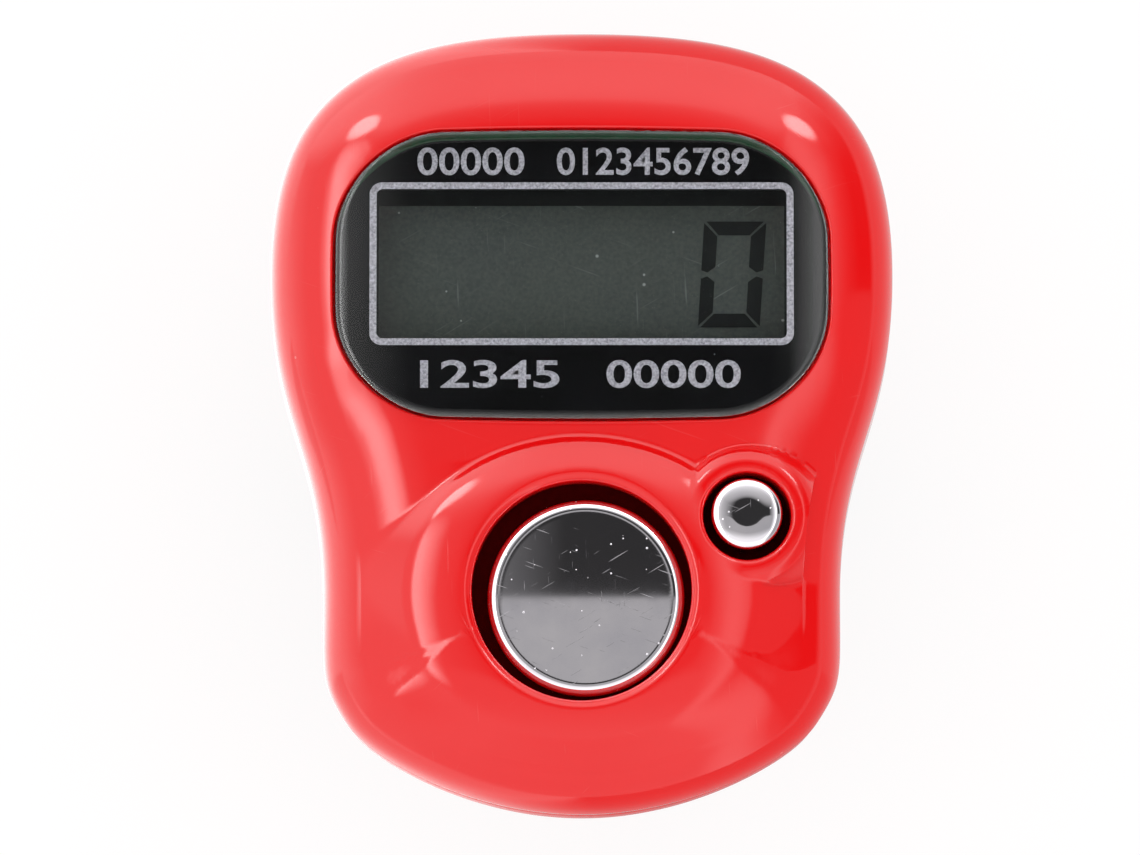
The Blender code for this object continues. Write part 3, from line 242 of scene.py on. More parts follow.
# Flanks at the waist, the head's sides, the head's top and the foot: distance in and slope
FLANKS = (fall_table((0.0, 80), (0.0003, 67), (0.0006, 55), (0.0010, 43), (0.0014, 35), (0.0020, 27),
                     (0.0027, 22), (0.0035, 18.5), (0.0040, 16.5), (0.0045, 14), (0.0052, 9), (0.0060, 5),
                     (0.0080, 0)),
          fall_table((0.0, 80), (0.0003, 66), (0.0006, 54), (0.0010, 42), (0.0014, 34), (0.0020, 26),
                     (0.0027, 20), (0.0033, 16), (0.0040, 12), (0.0050, 6), (0.0062, 0)),
          fall_table((0.0, 80), (0.0003, 62), (0.0006, 50), (0.0010, 42), (0.0020, 30), (0.0030, 20),
                     (0.0039, 12.7), (0.0043, 8), (0.0047, 4.5), (0.0051, 1.6), (0.0055, 0)),
          fall_table((0.0, 80), (0.0003, 62), (0.0006, 50), (0.0010, 42), (0.0020, 30), (0.0030, 20),
                     (0.0040, 13), (0.0050, 8), (0.0060, 4), (0.0080, 0)))


def section_values():
    """At each place of the outline: the shares of the four flanks, and the height of the crest."""
    x, y = OUTLINE.T
    head = smoothstep((y - HEAD_START_Y) / (HEAD_FULL_Y - HEAD_START_Y))
    foot = smoothstep((FOOT_START_Y - y) / (FOOT_START_Y - FOOT_FULL_Y))
    top = head * smoothstep((-INWARD[:, 1] - 0.35) / 0.5)
    crest = mix(mix(SIDE_Z, HEAD_Z, head), FOOT_Z, foot)
    return np.stack([(1.0 - head) * (1.0 - foot), head - top, top, foot, crest], axis=1)


SECTION = section_values()
LEAN = TOP_LEAN * SECTION[:, 2]
TUCK = FOOT_TUCK * SECTION[:, 3]


def base_height(inset, section):
    """Height of the plain domed front at a distance in from the outline."""
    places = np.linspace(0.0, 0.009, 361)
    falls = [section[..., i] * np.interp(inset, places, flank) for i, flank in enumerate(FLANKS)]
    return section[..., 4] - sum(falls)


def valley(y):
    """How far the face lies lower between the window and the mound, and beyond."""
    return VALLEY * smoothstep((0.0005 - y) / 0.0030)


def nearest_edge(points):
    """How far in from the outline each point is, and the section values nearest to it."""
    step = np.roll(OUTLINE, -1, 0) - OUTLINE
    following = np.roll(SECTION, -1, 0)
    square = (step**2).sum(axis=1)
    inset, section = [], []
    for chunk in np.array_split(points, max(1, len(points) // 4000)):
        away = chunk[:, None, :] - OUTLINE[None]
        share = np.clip((away * step).sum(axis=2) / square, 0.0, 1.0)
        distance = np.sqrt(((away - share[..., None] * step) ** 2).sum(axis=2))
        best = distance.argmin(axis=1)
        rows = np.arange(len(chunk))
        inset.append(distance[rows, best])
        section.append(mix(SECTION[best], following[best], share[rows, best, None]))
    return np.concatenate(inset), np.concatenate(section)


def make_mound_profile():
    """The mound's side as a fine table, from its foot (0) to its crest (1): steep, easy, then level."""
    share = np.linspace(0.0, 1.0, 201)
    slope = np.interp(share, (0.0, 0.08, 0.20, 0.50, 0.72, 0.90, 1.0),
                      (2.6, 1.9, 1.30, 0.95, 0.75, 0.50, 0.10))
    height = np.concatenate([[0.0], np.cumsum((slope[1:] + slope[:-1]) / 2)]) / 200
    return share, height / height[-1]


MOUND_PROFILE = make_mound_profile()


def face_height(points):
    """The height of the front face: the plain dome, the mound and the reset ring."""
    inset, section = nearest_edge(points)
    x, y = points.T
    low = base_height(inset, section) - valley(y)
    far = np.hypot(x - COUNT_X, y - COUNT_Y)
    way = np.arctan2(y - COUNT_Y, x - COUNT_X)
    foot = 1.0 / np.hypot(np.cos(way) / MOUND_HALF_X, np.sin(way) / MOUND_HALF_Y)
    share = (foot - far) / (foot - COUNT_HOLE - LIP_ROUND)
    rise = MOUND_Z - MOUND_FOOT_Z
    outside = share * rise * 2.8
    climb = np.where(share > 0.0, rise * np.interp(share, *MOUND_PROFILE), outside)
    softness = mix(0.00012, 0.00160, smoothstep((0.20 - np.sin(way)) / 1.20))
    sink = MOUND_SINK * smoothstep((0.35 - np.sin(way)) / 1.35)
    height = blend_max(low, MOUND_FOOT_Z + climb - sink, softness)
    near = np.hypot(x - RESET_X, y - RESET_Y)
    fall = np.maximum((near - RING_CREST) / (RING_FOOT - RING_CREST), 0.0)
    ring = np.where(fall < 1.0, np.cos(fall * pi / 2), (1.0 - fall) * pi)
    return blend_max(height, RING_TOP_Z - RING_RISE * (1.0 - ring), 0.00016)


def window_ring(inset, angles):
    """The window's outline where rays from its middle at these angles meet it."""
    points = rounded_window(inset)
    around = np.arctan2(points[:, 1], points[:, 0])
    order = np.argsort(around)
    radius = np.interp(angles, around[order], np.hypot(points[:, 0], points[:, 1])[order], period=2 * pi)
    return np.stack([radius * np.cos(angles), WINDOW_Y + radius * np.sin(angles)], axis=1)


def lift(points, z):
    """Plan points at a height, or each at its own."""
    return np.column_stack([points, np.broadcast_to(z, len(points))])


def inset_ring(inset, z):
    """The pod's outline moved inwards, at a height."""
    return lift(OUTLINE + INWARD * np.reshape(inset, (-1, 1)), z)


def circle_ring(x, y, radius, z, angles):
    return lift(np.column_stack([x + radius * np.cos(angles), y + radius * np.sin(angles)]), z)


def turns(count):
    """Angles evenly spaced round a circle."""
    return np.arange(count) * 2 * pi / count


def start_loop(bm, points):
    """A closed loop of vertices, each numbered; returns its edges."""
    number = bm.verts.layers.int.get("number") or bm.verts.layers.int.new("number")
    verts = [bm.verts.new(point) for point in points]
    for i, vert in enumerate(verts):
        vert[number] = i
    return [bm.edges.new(pair) for pair in zip(verts, verts[1:] + verts[:1])]


def next_loop(bm, edges, points):
    """Extrude a loop and move the new vertices to their places; returns the new loop's edges."""
    number = bm.verts.layers.int["number"]
    made = bmesh.ops.extrude_edge_only(bm, edges=edges)["geom"]
    for item in made:
        if isinstance(item, bmesh.types.BMVert):
            item.co = points[item[number]]
    return [item for item in made if isinstance(item, bmesh.types.BMEdge) and item.is_boundary]


def cover(bm, edges, up=1.0):
    """Fill what the loops enclose with faces that look up or down."""
    bmesh.ops.triangle_fill(bm, use_beauty=True, edges=edges, normal=(0.0, 0.0, up))


def round_hole(bm, x, y, radius):
    """Open a round hole in the face, with its edge on a true circle; returns edges and angles."""
    number = bm.verts.layers.int["number"]
    inside = [face for face in bm.faces
              if face.calc_center_median().z > FILL_Z + WALL
              and np.hypot(face.calc_center_median().x - x, face.calc_center_median().y - y) < radius]
    touched = {edge for face in inside for edge in face.edges}
    bmesh.ops.delete(bm, geom=inside, context='FACES')
    edges = [edge for edge in bm.edges if edge in touched and edge.is_boundary]
    verts = sorted({vert for edge in edges for vert in edge.verts},
                   key=lambda vert: atan2(vert.co.y - y, vert.co.x - x))
    count = len(verts)
    steps = turns(count)
    found = np.array([atan2(vert.co.y - y, vert.co.x - x) for vert in verts])
    angles = steps + (found - steps).mean()
    for i, vert in enumerate(verts):
        vert[number] = i
        vert.co.x = x + radius * cos(angles[i])
        vert.co.y = y + radius * sin(angles[i])
    near = [vert for vert in bm.verts if vert.co.z > FILL_Z + WALL and not vert.is_boundary
            and np.hypot(vert.co.x - x, vert.co.y - y) < radius + SMOOTHED_WIDTH]
    for _ in range(SMOOTHINGS):
        bmesh.ops.smooth_vert(bm, verts=near, factor=0.5, use_axis_x=True, use_axis_y=True)
    moved = near + verts
    heights = face_height(np.array([(vert.co.x, vert.co.y) for vert in moved]))
    for vert, z in zip(moved, heights):
        vert.co.z = z
    return edges, angles


def finish_mesh(name, bm, *materials, smooth_angle=30.0):
    """Close the mesh work: merge, point the faces outwards and make the object."""
    bmesh.ops.remove_doubles(bm, verts=bm.verts, dist=1e-7)
    bmesh.ops.recalc_face_normals(bm, faces=bm.faces)
    mesh = bpy.data.meshes.new(name)
    bm.to_mesh(mesh)
    bm.free()
    for material in materials:
        mesh.materials.append(material)
    obj = bpy.data.objects.new(name, mesh)
    bpy.context.scene.collection.objects.link(obj)
    mesh.shade_smooth()
    mesh.set_sharp_from_angle(angle=radians(smooth_angle))
    return obj


def place(obj, body, slot, *nodes):
    """Ride a piece on its body and let it stand for its solids; the slot, its finish's name, is not used."""
    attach(obj, body)
    if nodes:
        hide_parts(*nodes)
    return obj


def fill(socket, value):
    """Link a value into a socket, or write a constant on it."""
    if isinstance(value, bpy.types.NodeSocket):
        socket.id_data.links.new(value, socket)
    else:
        socket.default_value = value


def node(tree, kind, inputs=None, **settings):
    """A shader node with its settings, values and links."""
    made = tree.nodes.new(kind)
    for key, value in settings.items():
        setattr(made, key, value)
    for key, value in (inputs or {}).items():
        fill(made.inputs[key], value)
    return made


def math(operation, a, b, clamp=False):
    """One step of arithmetic on two shader values, either of which may be a number."""
    tree = (a if isinstance(a, bpy.types.NodeSocket) else b).id_data
    return node(tree, 'ShaderNodeMath', {0: a, 1: b}, operation=operation, use_clamp=clamp).outputs[0]


def times(a, b, clamp=False):
    return math('MULTIPLY', a, b, clamp)


def most(a, b):
    return math('MAXIMUM', a, b)


def lifted(value, factor, base):
    """A value times a factor, on top of a base."""
    return math('ADD', times(value, factor), base)


def vector(operation, a, b):
    return node(a.id_data, 'ShaderNodeVectorMath', {0: a, 1: b}, operation=operation).outputs


def new_group(name, result, **defaults):
    """An empty node group: it takes a place and some numbers, and gives one number."""
    tree = bpy.data.node_groups.new(name, 'ShaderNodeTree')
    tree.interface.new_socket("Vector", in_out='INPUT', socket_type='NodeSocketVector')
    for label, default in defaults.items():
        socket = tree.interface.new_socket(label, in_out='INPUT', socket_type='NodeSocketFloat')
        socket.default_value = default
    tree.interface.new_socket(result, in_out='OUTPUT', socket_type='NodeSocketFloat')
    given = tree.nodes.new('NodeGroupInput').outputs
    return tree, given, tree.nodes.new('NodeGroupOutput').inputs[result]


def scratch_group():
    """Fine straight hairlines in three directions, broken up by a slow noise."""
    tree, given, result = new_group("hairlines", "Mask", Density=0.5, Scale=1.0)
    level = math('SUBTRACT', 0.80, times(given["Density"], 0.12))
    total = 0.0
    for i, angle in enumerate((0.35, 1.55, 2.65)):
        turned = node(tree, 'ShaderNodeMapping', {"Vector": given["Vector"],
                                                  "Location": (0.013 * i, 0.029 * i, 0.0),
                                                  "Rotation": (0.2 * i, 0.1, angle)})
        scaled = vector('MULTIPLY', turned.outputs[0], given["Scale"])[0]
        stretched = vector('MULTIPLY', scaled, (260.0, 9000.0, 900.0))[0]
        lines = node(tree, 'ShaderNodeTexNoise', {"Vector": stretched, "Scale": 1.0, "Detail": 1.0,
                                                  "Roughness": 0.4})
        thin = times(math('SUBTRACT', lines.outputs[0], level), 14.0, clamp=True)
        total = most(total, thin)
    fill(result, total)
    return tree


def speck_group():
    """Scattered specks: a share of the cells of a grid each hold one round dot."""
    tree, given, result = new_group("specks", "Mask", Scale=1500.0, Share=0.1, Size=0.12)
    cells = node(tree, 'ShaderNodeTexVoronoi', {"Vector": given["Vector"], "Scale": given["Scale"]})
    chosen = node(tree, 'ShaderNodeSeparateColor', {0: cells.outputs["Color"]})
    picked = math('LESS_THAN', chosen.outputs[0], given["Share"])
    size = times(given["Size"], math('ADD', chosen.outputs[1], 0.35))
    dot = math('DIVIDE', math('SUBTRACT', size, cells.outputs["Distance"]), size, clamp=True)
    fill(result, times(picked, times(dot, 3.0, clamp=True)))
    return tree


def mottle_group():
    """A slow uneven value from 0 to 1."""
    tree, given, result = new_group("mottle", "Value", Scale=200.0, Detail=3.0)
    noise = node(tree, 'ShaderNodeTexNoise', {"Vector": given["Vector"], "Scale": given["Scale"],
                                              "Detail": given["Detail"], "Roughness": 0.55})
    spread = node(tree, 'ShaderNodeMapRange', {"Value": noise.outputs[0], "From Min": 0.3, "From Max": 0.7})
    fill(result, spread.outputs[0])
    return tree


HAIRLINES = scratch_group()
SPECKS = speck_group()
MOTTLE = mottle_group()


class Finish:
    """A Principled material being put together."""

    def __init__(self, name, color, roughness, metallic=0.0, **sockets):
        self.material = bpy.data.materials.new(name)
        self.material.use_nodes = True
        self.material.diffuse_color = (*color, 1.0)
        self.tree = self.material.node_tree
        self.place = node(self.tree, 'ShaderNodeTexCoord').outputs["Object"]
        self.color = (*color, 1.0)
        self.height = None
        self.set(Base_Color=self.color, Roughness=roughness, Metallic=metallic, **sockets)

    def set(self, **sockets):
        for key, value in sockets.items():
            fill(self.tree.nodes["Principled BSDF"].inputs[key.replace("_", " ")], value)

    def group(self, tree, **inputs):
        return node(self.tree, 'ShaderNodeGroup', {"Vector": self.place, **inputs}, node_tree=tree).outputs[0]

    def mottle(self, scale, detail):
        return self.group(MOTTLE, Scale=scale, Detail=detail)

    def hairlines(self, density, scale):
        return self.group(HAIRLINES, Density=density, Scale=scale)

    def specks(self, scale, share, size):
        return self.group(SPECKS, Scale=scale, Share=share, Size=size)

    def tint(self, mask, color, amount):
        """Mix a colour into the base colour where a mask says so."""
        inputs = {0: times(mask, amount), 6: self.color, 7: (*color, 1.0)}
        self.color = node(self.tree, 'ShaderNodeMix', inputs, data_type='RGBA').outputs[2]
        self.set(Base_Color=self.color)

    def roughen(self, mask, low, high):
        """Roughness from low to high as a mask goes from 0 to 1."""
        spread = node(self.tree, 'ShaderNodeMapRange', {"Value": mask, "To Min": low, "To Max": high})
        self.set(Roughness=spread.outputs[0])

    def raise_by(self, mask, distance):
        """Add relief: the surface stands up by a distance where the mask is 1."""
        step = times(mask, distance)
        self.height = step if self.height is None else math('ADD', self.height, step)

    def done(self):
        if self.height is not None:
            inputs = {"Strength": 1.0, "Distance": 1.0, "Height": self.height}
            self.set(Normal=node(self.tree, 'ShaderNodeBump', inputs).outputs[0])
        return self.material


def red_plastic():
    """Glossy moulded plastic: faint orange peel, hairlines, a few pits and pale marks."""
    look = Finish("red_gloss_plastic", (0.86, 0.0055, 0.0065), 0.07, IOR=1.49)
    uneven = look.mottle(420.0, 3.0)
    hairlines = look.hairlines(0.35, 0.8)
    pits = look.specks(420.0, 0.035, 0.075)
    look.tint(uneven, (0.80, 0.004, 0.005), 0.25)
    look.tint(hairlines, (0.95, 0.16, 0.15), 0.10)
    look.tint(look.specks(900.0, 0.05, 0.07), (0.95, 0.35, 0.32), 0.35)
    look.tint(pits, (0.16, 0.002, 0.003), 0.75)
    look.roughen(math('ADD', times(uneven, 0.5), hairlines), 0.055, 0.12)
    look.raise_by(look.mottle(700.0, 1.0), 0.0000010)
    look.raise_by(hairlines, -0.0000010)
    look.raise_by(pits, -0.00002)
    return look.done()


def back_plastic():
    """The same plastic with the dull moulded grain of a back."""
    look = Finish("red_grained_plastic", (0.82, 0.008, 0.009), 0.28, IOR=1.49)
    uneven = look.mottle(300.0, 4.0)
    hairlines = look.hairlines(0.6, 0.6)
    look.tint(uneven, (0.74, 0.006, 0.007), 0.35)
    look.tint(hairlines, (0.95, 0.20, 0.18), 0.16)
    look.roughen(times(uneven, 0.6), 0.24, 0.36)
    look.raise_by(look.mottle(6500.0, 2.0), 0.000004)
    look.raise_by(hairlines, -0.000002)
    return look.done()


def chrome():
    """Bright plating with hairlines and a little dust."""
    look = Finish("chrome_plating", (0.82, 0.785, 0.82), 0.03, metallic=1.0)
    hairlines = look.hairlines(0.42, 1.9)
    dust = look.specks(3400.0, 0.16, 0.16)
    haze = look.mottle(420.0, 4.0)
    look.tint(haze, (0.66, 0.64, 0.70), 0.6)
    look.roughen(lifted(haze, 0.05, most(times(hairlines, 0.35), dust)), 0.025, 0.42)
    look.raise_by(hairlines, -0.0000012)
    look.raise_by(dust, 0.000004)
    return look.done()


def clear_plastic():
    """The window's clear acrylic."""
    look = Finish("clear_acrylic", (0.96, 0.98, 0.97), 0.01, IOR=1.49, Transmission_Weight=1.0)
    look.roughen(look.hairlines(0.30, 0.7), 0.008, 0.05)
    look.raise_by(look.mottle(260.0, 1.0), 0.0000008)
    return look.done()


def print_black():
    """Black screen print on the back of the window."""
    look = Finish("black_screen_print", (0.0045, 0.0045, 0.0050), 0.35, Specular_IOR_Level=0.0)
    look.tint(look.mottle(150.0, 3.0), (0.008, 0.008, 0.010), 0.6)
    look.tint(look.specks(1500.0, 0.045, 0.09), (0.22, 0.23, 0.26), 0.6)
    return look.done()


def print_silver():
    """Grainy silver screen print."""
    silver = (0.62, 0.60, 0.68)
    look = Finish("silver_screen_print", silver, 0.45, Specular_IOR_Level=0.1)
    grain = look.mottle(7500.0, 2.0)
    look.tint(grain, (0.13, 0.13, 0.15), 0.85)
    look.tint(look.mottle(1500.0, 3.0), silver, 0.30)
    look.raise_by(grain, 0.000004)
    return look.done()


def display_grey():
    """The display's grey-green reflector, with dust under the window."""
    look = Finish("display_reflector", (0.062, 0.070, 0.066), 0.55, Specular_IOR_Level=0.1)
    look.tint(look.mottle(90.0, 2.0), (0.050, 0.058, 0.062), 0.8)
    look.tint(look.mottle(5200.0, 2.0), (0.092, 0.104, 0.092), 0.6)
    look.tint(look.specks(1300.0, 0.16, 0.11), (0.34, 0.37, 0.36), 0.75)
    look.tint(look.hairlines(0.60, 0.9), (0.16, 0.18, 0.17), 0.6)
    return look.done()


def display_dark():
    """The dark border round the display, which is partly painted shade along its top, and its switched-on
    segments.
    """
    look = Finish("display_dark", (0.0070, 0.0080, 0.0085), 0.5, Specular_IOR_Level=0.1)
    look.tint(look.mottle(1200.0, 3.0), (0.012, 0.015, 0.014), 0.6)
    return look.done()


def silicone():
    """Black silicone with a satin skin, lint and scuffs."""
    look = Finish("black_silicone", (0.017, 0.017, 0.018), 0.48)
    look.tint(look.mottle(240.0, 4.0), (0.026, 0.026, 0.028), 0.7)
    look.tint(look.specks(1600.0, 0.08, 0.10), (0.16, 0.16, 0.16), 0.5)
    look.roughen(look.mottle(600.0, 4.0), 0.42, 0.62)
    look.raise_by(look.mottle(5200.0, 2.0), 0.000004)
    return look.done()


def steel(name, color, roughness):
    """Nickel-plated steel."""
    look = Finish(name, color, roughness, metallic=1.0)
    look.tint(look.mottle(900.0, 4.0), tuple(0.8 * c for c in color), 0.6)
    look.roughen(look.hairlines(0.7, 1.0), roughness, roughness + 0.2)
    return look.done()


def plain_finish(name, color, roughness, grain_scale=2500.0, specular=0.5):
    """A small inner part's finish: its colour with a fine uneven grain."""
    look = Finish(name, color, roughness, Specular_IOR_Level=specular)
    grain = look.mottle(grain_scale, 3.0)
    look.tint(grain, tuple(0.7 * c for c in color), 0.6)
    look.raise_by(grain, 0.000003)
    return look.done()


def well(bm, opened, middle, hole, lip, steps, pocket_middle, pocket_radius, pocket_z):
    """A hole's rounded lip, its wall and the wider pocket under it; returns the pocket's last edges."""
    edges, angles = opened
    lip_z = face_height(circle_ring(*middle, hole + lip, 0.0, angles)[:, :2])
    for i in range(1, steps + 1):
        turn = (pi / 2) * i / steps
        radius = hole + lip * (1.0 - sin(turn))
        edges = next_loop(bm, edges, circle_ring(*middle, radius, lip_z - lip * (1.0 - cos(turn)), angles))
    edges = next_loop(bm, edges, circle_ring(*middle, hole, pocket_z, angles))
    for z in (pocket_z, FILL_Z):
        edges = next_loop(bm, edges, circle_ring(*pocket_middle, pocket_radius, z, angles))
    return edges


def front_casing(material):
    """The front half: side wall, rim, mound, ring, window pocket and button wells."""
    low = PARTING_Z + SEAM_GAP
    bm = bmesh.new()
    cavity = start_loop(bm, inset_ring(WALL + TUCK + 0.0001, FILL_Z))
    edges = cavity
    for inset, z in ((WALL + TUCK, low + 0.0002), (WALL + TUCK - 0.0001, low), (TUCK + SEAM_ROUND, low),
                     (TUCK + SEAM_ROUND * 0.3, low + SEAM_ROUND * 0.3), (TUCK, low + SEAM_ROUND),
                     (WALL_DRAFT + LEAN, base_height(0.0, SECTION) - valley(OUTLINE[:, 1]))):
        edges = next_loop(bm, edges, inset_ring(inset, z))
    steps = 22
    for i in range(1, steps + 1):
        inset = FLANK_INSET * (i / steps) ** 2.2
        plan = mix(WALL_DRAFT + LEAN, FLANK_INSET, inset / FLANK_INSET)
        ring = inset_ring(plan, base_height(inset, SECTION))
        ring[:, 2] -= valley(ring[:, 1])
        edges = next_loop(bm, edges, ring)
    crest = OUTLINE + INWARD * FLANK_INSET
    angles = np.arctan2(crest[:, 1] - WINDOW_Y, crest[:, 0])
    pocket = window_ring(-WINDOW_GAP - WINDOW_LIP, angles)
    steps = 112
    for i in range(1, steps + 1):
        plan = mix(crest, pocket, i / steps)
        edges = next_loop(bm, edges, lift(plan, face_height(plan)))
    lip_z = face_height(pocket)
    for turn in (30.0, 60.0, 90.0):
        out = WINDOW_LIP * (1.0 - sin(radians(turn)))
        plan = window_ring(-WINDOW_GAP - out, angles)
        edges = next_loop(bm, edges, lift(plan, lip_z - WINDOW_LIP * (1.0 - cos(radians(turn)))))
    edges = next_loop(bm, edges, lift(window_ring(-WINDOW_GAP, angles), LEDGE_Z))
    edges = next_loop(bm, edges, lift(window_ring(LEDGE_WIDTH, angles), LEDGE_Z))
    opening = next_loop(bm, edges, lift(window_ring(LEDGE_WIDTH, angles), FILL_Z))
    count_open = round_hole(bm, COUNT_X, COUNT_Y, COUNT_HOLE + LIP_ROUND)
    reset_open = round_hole(bm, RESET_X, RESET_Y, RESET_HOLE + RING_LIP)
    wells = well(bm, count_open, (COUNT_X, COUNT_Y), COUNT_HOLE, LIP_ROUND, 8,
                 (CAP_X, CAP_Y), CAP_FLANGE + POCKET_GAP, POCKET_Z)
    wells += well(bm, reset_open, (RESET_X, RESET_Y), RESET_HOLE, RING_LIP, 5,
                  (RESET_X, RESET_CAP_Y), RESET_FLANGE + POCKET_GAP, RESET_POCKET_Z)
    cover(bm, cavity + opening + wells, -1.0)
    return finish_mesh("front_casing", bm, material, smooth_angle=42.0)


def screw_places():
    """The middles of the four case screws."""
    boxes = [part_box(f"case_screw_{i}") for i in (1, 2, 3, 4)]
    return [((low.x + high.x) / 2, (low.y + high.y) / 2) for low, high in boxes]


def back_casing(material):
    """The back half with its screw recesses."""
    bm = bmesh.new()
    floor = start_loop(bm, inset_ring(BACK_ROUND + 0.0004, BACK_FLOOR_Z))
    edges = floor
    for inset, z in ((WALL + TUCK + 0.0002, BACK_FLOOR_Z + 0.0010), (WALL + TUCK, PARTING_Z - 0.0002),
                     (WALL + TUCK - 0.0001, PARTING_Z), (TUCK + SEAM_ROUND, PARTING_Z),
                     (TUCK + SEAM_ROUND * 0.3, PARTING_Z - SEAM_ROUND * 0.3), (TUCK, PARTING_Z - SEAM_ROUND),
                     (TUCK, BACK_Z + BACK_ROUND_HEIGHT + 0.0008)):
        edges = next_loop(bm, edges, inset_ring(inset, z))
    steps = 14
    for i in range(steps + 1):
        angle = (pi / 2) * i / steps
        edges = next_loop(bm, edges, inset_ring(mix(BACK_ROUND, TUCK, cos(angle)),
                                                BACK_Z + BACK_ROUND_HEIGHT * (1.0 - sin(angle))))
    cover(bm, edges, -1.0)
    cover(bm, floor)
    casing = finish_mesh("back_casing", bm, material, smooth_angle=42.0)
    cutters = []
    for x, y in screw_places():
        for radius, low, high in ((RECESS_RADIUS, BACK_Z - 0.0005, BACK_Z + RECESS_DEPTH),
                                  (SCREW_HOLE_RADIUS, BACK_Z + 0.0010, BACK_FLOOR_Z + 0.0005)):
            bm = bmesh.new()
            made = drum(bm, radius, high - low, 48)
            bmesh.ops.translate(bm, vec=(x, y, (low + high) / 2), verts=made)
            cutters.append(finish_mesh(f"recess_{len(cutters)}", bm))
    carve(casing, cutters)
    return casing


def drum(bm, radius, length, segments):
    """An upright cylinder round the origin; returns its vertices."""
    return bmesh.ops.create_cone(bm, cap_ends=True, segments=segments, radius1=radius, radius2=radius,
                                 depth=length)["verts"]


def box(bm, size, middle):
    """A box of a size round a place; returns its vertices."""
    made = bmesh.ops.create_cube(bm, size=1.0)["verts"]
    bmesh.ops.scale(bm, vec=size, verts=made)
    bmesh.ops.translate(bm, vec=middle, verts=made)
    return made


def strap_mounts(material):
    """Four lugs on the back and the two bars between them."""
    bm = bmesh.new()
    for x in (-BAR_X, BAR_X):
        for side in (-1, 1):
            add_lug(bm, x, side)
        add_bar(bm, x)
    return finish_mesh("strap_mounts", bm, material, smooth_angle=42.0)


# Strap
BAND_LOW, BAND_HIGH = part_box("finger_band")
BAND_Y = (BAND_LOW.y + BAND_HIGH.y) / 2
BAND_WIDTH = BAND_HIGH.y - BAND_LOW.y
BAND_THICKNESS = 0.00135
BAND_GAP = 0.00015
BAR_RADIUS = 0.00065
BAR_X = 0.0103
BAR_Z = BACK_Z - 2 * BAND_GAP - BAND_THICKNESS - BAR_RADIUS
LUG_WIDTH = 0.0022
LUG_THICKNESS = 0.0012
LUG_GAP = 0.0003
LUG_ROOT = 0.0007
BAND_FLAT = 0.0090
BAND_SIDE_HANDLE = 0.0075
BAND_FOOT_HANDLE = 0.0060
TAIL_END = 0.68
TAIL_START = 0.27
STUD_AT = 0.45
HOLE_SPACING = 0.135
HOLE_RADIUS = 0.00075


def bevel(bm, geom, width, segments=3):
    bmesh.ops.bevel(bm, geom=geom, offset=width, segments=segments, profile=0.5, affect='EDGES',
                    material=-1)


def add_lug(bm, x, side):
    """One lug: a block with rounded edges that grows out of the back."""
    low, high = COVER_LOW.z, BACK_Z + LUG_ROOT
    y = BAND_Y + side * (BAND_WIDTH / 2 + LUG_GAP + LUG_THICKNESS / 2)
    made = box(bm, (LUG_WIDTH, LUG_THICKNESS, high - low), (x, y, (low + high) / 2))
    own = set(made)
    bevel(bm, [edge for edge in bm.edges if own.issuperset(edge.verts)], 0.00025)


def add_bar(bm, x):
    """The round bar between two lugs, which the strap is threaded behind."""
    made = drum(bm, BAR_RADIUS, BAND_WIDTH + 2 * LUG_GAP + LUG_THICKNESS, 32)
    bmesh.ops.rotate(bm, cent=(0, 0, 0), matrix=Matrix.Rotation(pi / 2, 3, 'X'), verts=made)
    bmesh.ops.translate(bm, vec=(x, BAND_Y, BAR_Z), verts=made)


def spun(name, profile, x, y, steps, *materials, smooth_angle=40.0):
    """A profile of radii and heights spun about an upright axis."""
    bm = bmesh.new()
    verts = [bm.verts.new((radius, 0.0, z)) for radius, z in profile]
    edges = [bm.edges.new(pair) for pair in zip(verts, verts[1:])]
    bmesh.ops.spin(bm, geom=verts + edges, cent=(0, 0, 0), axis=(0, 0, 1), angle=2 * pi, steps=steps,
                   use_merge=True)
    bmesh.ops.translate(bm, vec=(x, y, 0.0), verts=bm.verts)
    return finish_mesh(name, bm, *materials, smooth_angle=smooth_angle)


def arc(middle_r, middle_z, radius, start, end, steps):
    """Places along an arc, angles in degrees from the outward direction."""
    places = []
    for i in range(steps + 1):
        angle = radians(start + (end - start) * i / steps)
        places.append((middle_r + radius * cos(angle), middle_z + radius * sin(angle)))
    return places


def count_cap(material, well_shade):
    """The large cap: a flat mirror face, a soft rolled edge, its flange and stem."""
    top = CAP_HIGH.z
    edge = CAP_EDGE
    flange_top = POCKET_Z - POCKET_GAP
    profile = [(0.0, top), (CAP_RADIUS - edge - 0.0003, top), (CAP_RADIUS - edge - 0.00005, top - 0.00001)]
    profile += arc(CAP_RADIUS - edge, top - edge, edge, 84.0, 0.0, 12)
    profile += [(CAP_RADIUS, flange_top), (CAP_FLANGE, flange_top), (CAP_FLANGE, flange_top - 0.0008),
                (CAP_RADIUS - 0.001, flange_top - 0.0008), (CAP_RADIUS - 0.001, top - 0.0012),
                (0.0012, top - 0.0012), (0.0012, CAP_LOW.z), (0.0, CAP_LOW.z)]
    return spun("count_cap", profile, CAP_X, CAP_Y, 144, material, well_shade, smooth_angle=30.0)


